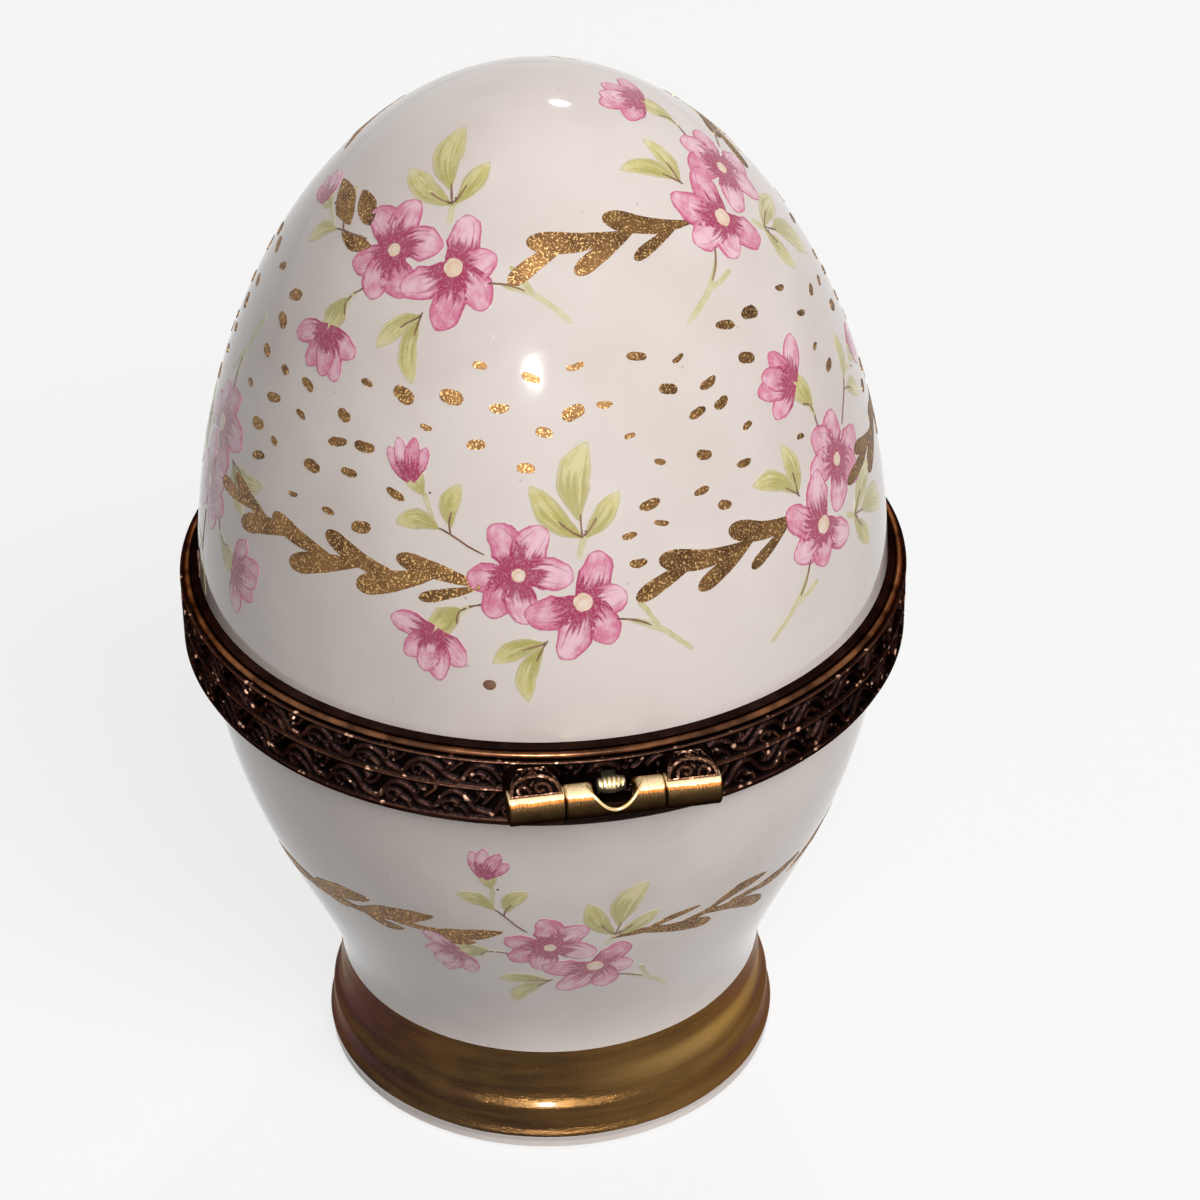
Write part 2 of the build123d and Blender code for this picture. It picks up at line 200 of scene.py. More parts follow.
class Shader(NodeTree):
    """A material with one surface shader, to which patterns are added."""

    def __init__(self, name: str) -> None:
        """Starts the material with its surface shader."""
        self.material = bpy.data.materials.new(name)
        self.material.use_nodes = True
        super().__init__(self.material.node_tree)
        self.surface = self.node("ShaderNodeBsdfPrincipled")
        self.node("ShaderNodeOutputMaterial", None, {"Surface": Signal(self, self.surface.outputs[0])})

    def place(self) -> Signal:
        """Where a point lies on the resting box, in millimetres."""
        held = self.signal("ShaderNodeTexCoord", output="Object")
        return self.signal("ShaderNodeVectorMath", {"operation": "SCALE"}, {0: held, "Scale": 1 / MM})

    def stretched(self, vector: Signal, sizes: tuple[float, float, float]) -> Signal:
        """A vector with each part multiplied."""
        return self.signal("ShaderNodeVectorMath", {"operation": "MULTIPLY"}, {0: vector, 1: sizes})

    def parts(self, vector: Signal) -> tuple[Signal, Signal, Signal]:
        """The three parts of a vector."""
        node = self.node("ShaderNodeSeparateXYZ", None, {0: vector})
        return tuple(Signal(self, out) for out in node.outputs)

    def held(self, name: str) -> Signal:
        """The vector that a mesh keeps at each point under a name."""
        return self.signal("ShaderNodeAttribute", {"attribute_name": name}, output="Vector")

    def noise(self, vector: Signal, size: float, detail: float = 2.0, roughness: float = 0.5) -> Signal:
        """Smooth random values.

        Args:
            vector: Where they are read.
            size: The size of their grains, in the vector's units.
            detail: How many finer layers they have.
            roughness: How strong those layers are.

        Returns:
            Values round a half.
        """
        return self.signal("ShaderNodeTexNoise", None, {
            "Vector": vector, "Scale": 1 / size, "Detail": detail, "Roughness": roughness})

    def cells(self, vector: Signal, size: float) -> Signal:
        """The distance to the nearest of many scattered points.

        Args:
            vector: Where it is read.
            size: The mean spacing of the points, in the vector's units.

        Returns:
            The distance as a share of the spacing.
        """
        return self.signal("ShaderNodeTexVoronoi", None, {"Vector": vector, "Scale": 1 / size}, "Distance")

    def mix(self, share: Signal | float, low: Signal | Colour, high: Signal | Colour) -> Signal:
        """Mixes two colours.

        Args:
            share: How much of the second one there is.
            low: The first colour.
            high: The second colour.

        Returns:
            The mixture.
        """
        return self.signal("ShaderNodeMix", {"data_type": "RGBA"}, {0: share, 6: low, 7: high}, 2)

    def relief(self, height: Signal, depth: float) -> Signal:
        """The surface direction that a pattern of heights gives.

        Args:
            height: The pattern.
            depth: How deep one unit of it is, in millimetres.

        Returns:
            The direction.
        """
        return self.signal("ShaderNodeBump", None, {
            "Height": height, "Distance": depth * MM, "Strength": 1.0})

    def finish(self, **sockets: object) -> bpy.types.Material:
        """Fills the surface shader's sockets, whose names have underscores for spaces."""
        for name, value in sockets.items():
            self.fill(self.surface.inputs[name.replace("_", " ")], value)
        return self.material


# Finishes

BRASS_EDGE: Colour = paint(104, 88, 80)
GLAZE: Mapping[str, float] = {"IOR": 1.46, "Coat_Weight": 0.1, "Coat_Roughness": 0.03}
GLAZE_WAVE = 3.5
GLAZE_DEPTH = 0.035


@dataclass(frozen=True)
class PorcelainGlaze:
    """White porcelain under a clear, very slightly uneven glaze."""

    name: str = "porcelain_glaze"
    body: Colour = paint(231, 220, 213)
    shade: Colour = paint(223, 210, 203)
    fleck: Colour = paint(150, 128, 118)

    def material(self) -> bpy.types.Material:
        """The finish as a material."""
        shader = Shader(self.name)
        place = shader.place()
        cloud = shader.noise(place, 9.0, 3.0).step(0.35, 0.7)
        pinholes = shader.cells(place, 2.6).step(0.05, 0.03)
        colour = shader.mix(cloud, self.body, self.shade)
        colour = shader.mix(pinholes * 0.30, colour, self.fleck)
        waves = shader.noise(place, GLAZE_WAVE, 2.0) + shader.noise(place, 0.5, 1.0) * 0.03
        return shader.finish(
            Base_Color=colour, Roughness=0.05 + shader.noise(place, 1.2, 3.0) * 0.03,
            Normal=shader.relief(waves - pinholes * 0.35, GLAZE_DEPTH), **GLAZE)


@dataclass(frozen=True)
class PrintedColour:
    """A printed enamel colour under the glaze: a wash, a darker line round it and streaks from its root."""

    name: str
    wash: Colour
    pale: Colour
    streak: Colour
    line: Colour
    streak_body: float = 1.45
    streak_share: float = 0.92
    streak_reach: float = 0.60
    streak_grain: float = 0.20
    line_inset: float = 0.84
    line_share: float = 1.0
    fade: float = 0.0

    def material(self) -> bpy.types.Material:
        """The finish as a material."""
        shader = Shader(self.name)
        place = shader.place()
        along, across, tone = shader.parts(shader.held("brush"))
        side = abs(across)
        grain = shader.noise(place, 0.15, 2.0)
        blotch = shader.noise(place, 0.8, 2.0)
        pooled = blotch + tone * 0.3 - side.step(0.5, 1.0) * 0.30
        colour = shader.mix(pooled.step(0.32, 0.88), self.wash, self.pale)
        lengthwise = shader.stretched(shader.held("brush"), (0.32, 1.0, 37.0))
        lanes = shader.noise(lengthwise, self.streak_grain, 2.0)
        share = along / self.streak_reach
        streaks = (lanes * 2.1 - 1.05 + (1 - share) * self.streak_body).step(0.12, 0.62)
        colour = shader.mix(streaks * share.step(1.6, 0.8) * self.streak_share, colour, self.streak)
        edge = side.step(self.line_inset - 0.04, self.line_inset + 0.10).most(along.step(0.93, 0.985))
        colour = shader.mix(edge * (0.25 + blotch * 0.9) * self.line_share, colour, self.line)
        crease = abs(side - self.line_inset * 0.60).step(0.09, 0.02)
        crease = crease * along.step(0.3, 0.5) * along.step(0.95, 0.8)
        colour = shader.mix(crease * lanes * 0.8 * self.line_share, colour, self.line)
        fade = side.step(0.55, 1.0).most(along.step(0.8, 1.0)) * self.fade
        colour = shader.mix(fade, colour, PorcelainGlaze.body)
        colour = shader.mix(grain.step(0.48, 0.72) * 0.30, colour, self.pale)
        return shader.finish(
            Base_Color=colour, Roughness=0.08 + grain * 0.05,
            Normal=shader.relief(shader.noise(place, GLAZE_WAVE, 2.0), GLAZE_DEPTH), **GLAZE)


@dataclass(frozen=True)
class PrintedGilding:
    """Fired gilding laid on the glaze: flat brown gold with a fine metallic grain, and bright flecks in it as
    painted glints.
    """

    name: str = "printed_gilding"
    gold: Colour = paint(116, 84, 50)
    dull: Colour = paint(82, 56, 34)
    # The last colour is that of the painted glints.
    painted_spark: Colour = paint(236, 194, 130)

    def material(self) -> bpy.types.Material:
        """The finish as a material."""
        shader = Shader(self.name)
        place = shader.place()
        grain = shader.noise(place, 0.14, 2.0, 0.6)
        patch = shader.noise(place, 1.6, 3.0)
        colour = shader.mix(patch.step(0.35, 0.7), self.gold, self.dull)
        # Bright flecks over the grain: painted glints.
        colour = shader.mix(grain.step(0.53, 0.68) * 0.7, colour, self.painted_spark)
        return shader.finish(
            Base_Color=colour, Metallic=0.9, Roughness=0.42 + shader.noise(place, 0.22, 2.0) * 0.16,
            Normal=shader.relief(grain, 0.03))


@dataclass(frozen=True)
class FootGilding:
    """Burnished gold brushed round the foot, with painted shade that turns it brown towards low X, a pale
    painted reflection band on its right side and pale flecks as painted glints.
    """

    name: str = "foot_gilding"
    gold: Colour = paint(114, 82, 40)
    # brown is the colour of the painted shade towards low X; pale is that of the painted reflection band and
    # of the painted glint flecks.
    brown: Colour = paint(42, 26, 15)
    pale: Colour = paint(200, 162, 98)
    edge: Colour = paint(190, 156, 112)
    # The painted shade turns from brown to gold over this reach either side of the middle; the painted
    # reflection band lies at the height that follows.
    reach: float = 13.0
    reflection_height: float = 5.7

    def material(self) -> bpy.types.Material:
        """The finish as a material."""
        shader = Shader(self.name)
        place = shader.place()
        rings = shader.noise(shader.stretched(place, (0.10, 0.10, 1.0)), 0.7, 2.0, 0.5)
        lines = shader.noise(shader.stretched(place, (0.16, 0.16, 1.0)), 0.20, 2.0, 0.6)
        patch = shader.noise(place, 6.0, 2.0)
        grain = shader.noise(place, 0.12, 2.0, 0.6)
        across, _, height = shader.parts(place)
        # Painted shade: brown towards low X and gold towards high X, with random patches and brushed rings
        # mixed in.
        shade_and_tone = across.step(-self.reach, self.reach) * 0.62 + patch.step(0.35, 0.7) * 0.18
        shade_and_tone = shade_and_tone + rings.step(0.35, 0.65) * 0.2
        # A painted reflection: a pale band round the foot at one height, on the right-hand side only.
        painted_reflection = abs(height - self.reflection_height + rings * 0.4).step(1.3, 0.2) * across.step(-2.0, self.reach)
        colour = shader.mix(shade_and_tone, self.brown, self.gold)
        colour = shader.mix(painted_reflection * 0.6, colour, self.pale)
        # Pale flecks: painted glints.
        colour = shader.mix(grain.step(0.62, 0.78) * 0.3, colour, self.pale)
        return shader.finish(
            Base_Color=colour, Metallic=0.95, Roughness=0.17 + grain * 0.13, Specular_Tint=self.edge,
            Coat_Weight=0.14, Coat_Roughness=0.14,
            Normal=shader.relief(lines + rings * 0.8 + grain * 0.8, 0.045))


@dataclass(frozen=True)
class ChasedBrass:
    """Antiqued brass: dark in its ground, rubbed bright on the crests of the chasing, with painted glints
    scattered over the raised parts.
    """

    name: str = "chased_brass"
    ground: Colour = paint(15, 9, 9)
    bronze: Colour = paint(38, 24, 21)
    crest: Colour = paint(112, 76, 58)
    painted_glint: Colour = paint(244, 190, 160)
    painted_glint_from: float = 0.50
    dents: float = 2.4

    def material(self) -> bpy.types.Material:
        """The finish as a material."""
        shader = Shader(self.name)
        place = shader.place()
        height, _, _ = shader.parts(shader.held("chasing"))
        grain = shader.noise(place, 0.10, 3.0, 0.6)
        wear = shader.noise(place, 2.2, 3.0)
        colour = shader.mix((height + grain * 0.3 - 0.15).step(0.15, 0.75), self.ground, self.bronze)
        # Painted glints: bright spots scattered over the raised chasing.
        painted_glints = shader.cells(place, 0.62).step(0.38, 0.18)
        painted_glints = painted_glints * shader.noise(place, 1.3, 2.0).step(self.painted_glint_from, self.painted_glint_from + 0.12)
        rubbed = (height + wear * 0.5 - 0.25).step(0.74, 1.05)
        colour = shader.mix(rubbed * 0.5, colour, self.crest)
        colour = shader.mix(painted_glints * height.step(0.3, 0.7) * 0.9, colour, self.painted_glint)
        dents = shader.noise(place, 0.35, 2.0) * self.dents
        return shader.finish(
            Base_Color=colour, Metallic=1.0, Roughness=0.30 - rubbed * 0.10 + grain * 0.08,
            Specular_Tint=BRASS_EDGE, Normal=shader.relief(grain + dents, 0.03))


@dataclass(frozen=True)
class Brass:
    """Plain brass: polished where it is touched, tarnished brown elsewhere, with fine scratches."""

    name: str
    bright: Colour = paint(214, 170, 92)
    tarnish: Colour = paint(104, 68, 34)
    tarnish_share: float = 0.4
    roughness: float = 0.2
    scratch_run: tuple[float, float, float] = (0.12, 1.0, 1.0)

    def material(self) -> bpy.types.Material:
        """The finish as a material."""
        shader = Shader(self.name)
        place = shader.place()
        patch = shader.noise(place, 2.2, 4.0, 0.55)
        scratches = shader.noise(shader.stretched(place, self.scratch_run), 0.06, 2.0, 0.6)
        level = 0.72 - self.tarnish_share * 0.5
        colour = shader.mix(patch.step(level - 0.25, level + 0.25), self.bright, self.tarnish)
        pits = shader.cells(place, 0.7).step(0.12, 0.05)
        colour = shader.mix(pits * 0.4, colour, self.tarnish)
        return shader.finish(
            Base_Color=colour, Metallic=1.0, Roughness=self.roughness + patch * 0.12 + scratches * 0.08,
            Specular_Tint=BRASS_EDGE, Normal=shader.relief(scratches * 0.5 - pits * 0.6 + patch * 0.6, 0.014))


@dataclass(frozen=True)
class BarrelBrass:
    """Brass of the clasp and the hinge: barrels with a painted highlight along their tops and an orange
    painted fringe under it, painted shade that darkens them towards the bottom, and dark leaves.
    """

    name: str = "barrel_brass"
    # worn is the colour of the painted highlight along the tops, edge the orange of its painted fringe, and
    # tarnish that of the painted shade towards the bottom and of the pits.
    worn: Colour = paint(253, 230, 182)
    body: Colour = paint(62, 46, 27)
    edge: Colour = paint(206, 124, 54)
    tarnish: Colour = paint(40, 28, 17)
    leaf: Colour = paint(28, 18, 14)
    axis: Point = (26.45, 38.3)
    radius: float = 1.15

    def material(self) -> bpy.types.Material:
        """The finish as a material."""
        shader = Shader(self.name)
        place = shader.place()
        _, depth, height = shader.parts(place)
        out, rise = abs(depth) - self.axis[0], height - self.axis[1]
        far = (out * out + rise * rise) ** 0.5
        patch = shader.noise(place, 1.6, 4.0, 0.6)
        scratches = shader.noise(shader.stretched(place, (1.0, 0.2, 0.2)), 0.09, 2.0, 0.6)
        ragged = patch - 0.5
        # Painted highlight: a bright line along the top of each barrel, with an orange painted fringe below
        # it.
        line = (rise + ragged * 0.24).step(0.80, 0.90) * out.step(-0.55, -0.35)
        painted_fringe = (rise + ragged * 0.34).step(0.62, 0.84) * out.step(-0.7, -0.5)
        # Painted shade: darker towards the bottom of each barrel.
        colour = shader.mix((ragged - rise * 0.62).step(-0.42, 0.38), self.body, self.tarnish)
        colour = shader.mix(painted_fringe * 0.55, colour, self.edge)
        colour = shader.mix(line * (0.5 + scratches * 0.9), colour, self.worn)
        pits = shader.cells(place, 0.6).step(0.12, 0.05)
        colour = shader.mix(pits * 0.5, colour, self.tarnish)
        colour = shader.mix(far.step(self.radius + 0.03, self.radius + 0.10), colour, self.leaf)
        return shader.finish(
            Base_Color=colour, Metallic=1.0, Roughness=0.40 + patch * 0.14,
            Specular_Tint=BRASS_EDGE, Normal=shader.relief(scratches * 1.2 - pits * 0.6 + patch * 0.6, 0.035))


@dataclass(frozen=True)
class Cement:
    """Set cement in the mounts, matt and grainy."""

    name: str = "mount_cement"
    body: Colour = paint(206, 198, 180)
    stain: Colour = paint(160, 148, 126)

    def material(self) -> bpy.types.Material:
        """The finish as a material."""
        shader = Shader(self.name)
        place = shader.place()
        grain = shader.noise(place, 0.3, 4.0, 0.6)
        return shader.finish(Base_Color=shader.mix(grain.step(0.3, 0.7), self.stain, self.body),
                             Roughness=0.85, Normal=shader.relief(grain, 0.05))


# Outlines and turned meshes

def smooth_line(points: Sequence[Point], start: Point | None, end: Point | None, count: int) -> np.ndarray:
    """A smooth line through points, by their distance along it.

    Args:
        points: The points, in order.
        start: The direction in which it leaves the first one, or None where it is free.
        end: The direction in which it reaches the last one, or None where it is free.
        count: How many points the line gets.

    Returns:
        The line's points, one in each row.
    """
    known = np.array(points, dtype=float)
    gaps = np.hypot(*np.diff(known, axis=0).T)
    total = len(known)
    system, wanted = np.zeros((total, total)), np.zeros((total, 2))
    for row, side, way in ((0, 1, start), (total - 1, total - 2, end)):
        if way is None:
            gap = gaps[min(row, side)]
            system[row, row], system[row, side] = 2, 1
            wanted[row] = 3 * (known[max(row, side)] - known[min(row, side)]) / gap
        else:
            system[row, row] = 1
            wanted[row] = np.array(way) / math.hypot(*way)
    for row in range(1, total - 1):
        before, after = gaps[row - 1], gaps[row]
        system[row, row - 1:row + 2] = after, 2 * (before + after), before
        wanted[row] = 3 * (after * (known[row] - known[row - 1]) / before
                           + before * (known[row + 1] - known[row]) / after)
    slopes = np.linalg.solve(system, wanted)
    stops = np.concatenate([[0], np.cumsum(gaps)])
    at = np.linspace(0, stops[-1], count)
    part = np.clip(np.searchsorted(stops, at, side="right") - 1, 0, total - 2)
    gap = gaps[part][:, None]
    share = (at - stops[part])[:, None] / gap
    left = (1 + 2 * share) * known[part] + share * gap * slopes[part]
    right = (3 - 2 * share) * known[part + 1] + (share - 1) * gap * slopes[part + 1]
    return (1 - share) ** 2 * left + share ** 2 * right


@dataclass
class Outline:
    """The outside of a turned piece, as its radius at each height."""

    line: np.ndarray

    def __post_init__(self) -> None:
        """Sorts the outline upwards and works out its lean."""
        rows = self.line[np.argsort(self.line[:, 1], kind="stable")]
        keep = np.concatenate([[True], np.diff(rows[:, 1]) > 1e-6])
        self.heights, self.radii = rows[keep, 1], rows[keep, 0]
        self.leans = np.gradient(self.radii, self.heights)

    def radius(self, height: np.ndarray | float) -> np.ndarray:
        """Radius at a height."""
        return np.interp(height, self.heights, self.radii)

    def lean(self, height: np.ndarray | float) -> np.ndarray:
        """How fast the radius grows upwards at a height."""
        return np.interp(height, self.heights, self.leans)

    def normals(self, points: np.ndarray) -> np.ndarray:
        """The directions straight out of the surface at points on it."""
        flat = np.hypot(points[:, 0], points[:, 1]) + 1e-9
        out = np.stack([points[:, 0] / flat, points[:, 1] / flat, -self.lean(points[:, 2])], axis=1)
        return out / np.linalg.norm(out, axis=1)[:, None]


@dataclass
class MeshParts:
    """The points and faces of a mesh while it is being made, in millimetres."""

    points: list[np.ndarray] = field(default_factory=list)
    faces: list[tuple[int, ...]] = field(default_factory=list)
    held: list[np.ndarray] = field(default_factory=list)
    count: int = 0

    def add(self, points: np.ndarray, faces: Sequence[tuple[int, ...]],
            held: np.ndarray | None = None) -> "MeshParts":
        """Adds points, the faces between them and the vector that each point keeps.

        Args:
            points: The points, one in each row.
            faces: The corners of each face, counted within these points.
            held: The vector that each point keeps, or None for zeros.

        Returns:
            The parts themselves.
        """
        self.points.append(points)
        self.faces.extend([tuple(int(corner) + self.count for corner in face) for face in faces])
        self.held.append(np.zeros((len(points), 3)) if held is None else held)
        self.count += len(points)
        return self

    def piece(self, name: str, material: bpy.types.Material, body: str, slot: str | None = None,
              held_name: str | None = None, sharp_angle: float = 35.0) -> bpy.types.Object:
        """Makes the mesh into a piece of the box.

        Args:
            name: The piece's name.
            material: What it is finished with.
            body: The moving body that it rides on.
            slot: The record's material slot; not used.
            held_name: The name under which each point keeps its vector.
            sharp_angle: Edges sharper than this, in degrees, stay crisp.

        Returns:
            The piece.
        """
        mesh = bpy.data.meshes.new(name)
        mesh.from_pydata((np.concatenate(self.points) * MM).tolist(), [], self.faces)
        if held_name:
            store = mesh.attributes.new(held_name, "FLOAT_VECTOR", "POINT")
            store.data.foreach_set("vector", np.concatenate(self.held).astype(np.float32).ravel())
        mesh.polygons.foreach_set("use_smooth", [True] * len(mesh.polygons))
        mesh.set_sharp_from_angle(angle=math.radians(sharp_angle))
        mesh.materials.append(material)
        made = bpy.data.objects.new(name, mesh)
        bpy.context.scene.collection.objects.link(made)
        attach(made, body)
        log.info("%s: %d points, %d faces, on %s", name, len(mesh.vertices), len(mesh.polygons), body)
        return made


def turned(radii: np.ndarray, angles: np.ndarray, heights: np.ndarray) -> np.ndarray:
    """Points at radii, angles and heights round the axis."""
    return np.stack(np.broadcast_arrays(radii * np.cos(angles), radii * np.sin(angles), heights), axis=-1)


def lathe(outline: np.ndarray, segments: int) -> MeshParts:
    """Turns an outline that starts and ends on the axis, with its outside running downwards.

    Args:
        outline: Radius and height in each row.
        segments: How many steps there are in a turn.

    Returns:
        The closed mesh.
    """
    rings = outline[1:-1]
    grid = turned(rings[:, :1], np.arange(segments) * TURN / segments, rings[:, 1:])
    points = np.concatenate([[[0, 0, outline[0, 1]]], grid.reshape(-1, 3), [[0, 0, outline[-1, 1]]]])
    faces, last = [], len(points) - 1
    for step in range(segments):
        near, far = 1 + step, 1 + (step + 1) % segments
        faces.append((0, near, far))
        for ring in range(len(rings) - 1):
            low = ring * segments
            faces.append((near + low, near + low + segments, far + low + segments, far + low))
        low = (len(rings) - 1) * segments
        faces.append((near + low, last, far + low))
    return MeshParts().add(points, faces)


def ringed(grid: np.ndarray, joined: bool = False) -> MeshParts:
    """A closed mesh through rings of points.

    Args:
        grid: The points, by ring and by place in the ring.
        joined: Whether the last ring meets the first; otherwise each end is a flat face.

    Returns:
        The mesh.
    """
    count, sides = grid.shape[:2]
    faces = []
    for ring in range(count if joined else count - 1):
        low, high = ring * sides, (ring + 1) % count * sides
        for near in range(sides):
            far = (near + 1) % sides
            faces.append((low + near, low + far, high + far, high + near))
    if not joined:
        faces.append(tuple(range(sides))[::-1])
        faces.append(tuple(range((count - 1) * sides, count * sides)))
    return MeshParts().add(grid.reshape(-1, 3), faces)


def inset(line: np.ndarray, wall: float) -> np.ndarray:
    """A line one wall inside an outline that runs upwards."""
    along = np.gradient(line, axis=0)
    along /= np.linalg.norm(along, axis=1)[:, None]
    return line + np.stack([-along[:, 1], along[:, 0]], axis=1) * wall


# Painting on the porcelain

class Brush(Enum):
    """The brushes, each with its name and how unsteady its edges are, as a share of a mark's width."""

    PETAL = ("petal", 0.13)
    LEAF = ("leaf", 0.12)
    STEM = ("stem", 0.30)
    LOBE = ("lobe", 0.045)
    SPOT = ("spot", 0.10)
    DOT = ("dot", 0.13)

    @property
    def wobble(self) -> float:
        """How unsteady its edges are."""
        return self.value[1]

    def widths(self, along: np.ndarray) -> np.ndarray:
        """The half width, as a share of the widest, at shares of the mark's length."""
        if self is Brush.PETAL:
            tip = np.clip((along - 0.52) / 0.48, 0, 1)
            return np.minimum(1, 0.56 + 0.95 * along) * (1 - tip ** 2.1) ** 0.62
        if self is Brush.LEAF:
            return np.sin(np.pi * along ** 1.12) ** 0.74
        if self is Brush.STEM:
            return np.sqrt(np.clip(np.minimum(along, 1 - along) / 0.06, 0, 1))
        if self is Brush.LOBE:
            tip = np.clip((along - 0.78) / 0.22, 0, 1)
            swell = np.sin(0.5 * np.pi * np.clip(along / 0.82, 0, 1)) ** 0.85
            return (0.14 + 0.86 * swell) * np.sqrt(1 - tip ** 2.2)
        power = 2.0 if self is Brush.SPOT else 2.7
        return np.sqrt(np.clip(1 - np.abs(2 * along - 1) ** power, 0, 1))


@dataclass(frozen=True)
class Mark:
    """One painted mark: a line, how wide it gets and the brush that sets its shape."""

    line: tuple[Point, ...]
    width: float
    brush: Brush
    step: float = 0.32
    fine: int = 161
    thinnest: float = 0.022

    def grid(self, across: int, random: np.random.Generator) -> tuple[np.ndarray, np.ndarray]:
        """The mark's points on the flat.

        Args:
            across: How many steps it has from side to side.
            random: What the unsteadiness of its edges is drawn from.

        Returns:
            Its points, row by row, and the place along and across of each.
        """
        length = sum(math.dist(a, b) for a, b in zip(self.line, self.line[1:]))
        steps = max(8, min(60, round(length / self.step)))
        shares = (1 - np.cos(np.pi * np.arange(steps + 1) / steps)) / 2
        if len(self.line) > 2:
            fine = smooth_line(self.line, None, None, self.fine)
        else:
            fine = np.linspace(*self.line, self.fine)
        known = np.linspace(0, 1, self.fine)
        middle, along = (np.stack([np.interp(shares, known, part) for part in values.T], axis=1)
                         for values in (fine, np.gradient(fine, axis=0)))
        along /= np.linalg.norm(along, axis=1)[:, None]
        side = np.stack([-along[:, 1], along[:, 0]], axis=1)
        half = self.brush.widths(shares) * self.width / 2
        edges = []
        for _ in (-1, 1):
            starts = random.uniform(0, TURN, 3)
            waver = sum(part * np.sin(TURN * often * shares + start)
                        for part, often, start in zip((0.55, 0.40, 0.22), (1.1, 2.7, 6.1), starts))
            edges.append(np.maximum(half * (1 + self.brush.wobble * waver), self.thinnest))
        places = np.linspace(-1, 1, across + 1)
        widths = np.where(places < 0, edges[0][:, None], edges[1][:, None])
        flat = middle[:, None] + side[:, None] * (widths * places)[..., None]
        held = np.stack(np.broadcast_arrays(shares[:, None], places), axis=-1)
        return flat.reshape(-1, 2), held.reshape(-1, 2)


@dataclass(frozen=True)
class Stamp:
    """Where a spray of marks is laid on the porcelain: its middle, its turn and its size."""

    azimuth: float
    height: float
    turn: float = 0.0
    size: float = 1.0
    ball: float = 25.0
    nearest: float = 0.2
    farthest: float = 1.8
    halvings: int = 44

    def wrap(self, flat: np.ndarray, outline: Outline) -> np.ndarray:
        """Bends flat points over a ball that touches a turned surface, and moves them onto that surface.

        Args:
            flat: The points, in millimetres from the spray's middle.
            outline: The surface.

        Returns:
            The points on the surface.
        """
        azimuth, turn = math.radians(self.azimuth), math.radians(self.turn)
        radius, lean = float(outline.radius(self.height)), float(outline.lean(self.height))
        east = np.array([math.cos(azimuth), math.sin(azimuth), 0])
        out = np.array([math.sin(azimuth), -math.cos(azimuth), -lean])
        out /= np.linalg.norm(out)
        up = np.cross(out, east)
        middle = np.array([radius * math.sin(azimuth), -radius * math.cos(azimuth), self.height])
        across = (flat[:, 0] * math.cos(turn) - flat[:, 1] * math.sin(turn)) * self.size
        rise = (flat[:, 0] * math.sin(turn) + flat[:, 1] * math.cos(turn)) * self.size
        far = np.hypot(across, rise)
        bend = np.sin(far / self.ball) / np.maximum(far, 1e-9)
        ways = np.cos(far / self.ball)[:, None] * out + (bend * across)[:, None] * east
        ways = ways + (bend * rise)[:, None] * up
        centre = middle - out * self.ball
        near = np.full(len(flat), self.nearest * self.ball)
        beyond = np.full(len(flat), self.farthest * self.ball)
        for _ in range(self.halvings):
            half = (near + beyond) / 2
            tried = centre + half[:, None] * ways
            inside = np.hypot(tried[:, 0], tried[:, 1]) < outline.radius(tried[:, 2])
            inside &= tried[:, 2] < outline.heights[-1]
            near, beyond = np.where(inside, half, near), np.where(inside, beyond, half)
        return centre + near[:, None] * ways


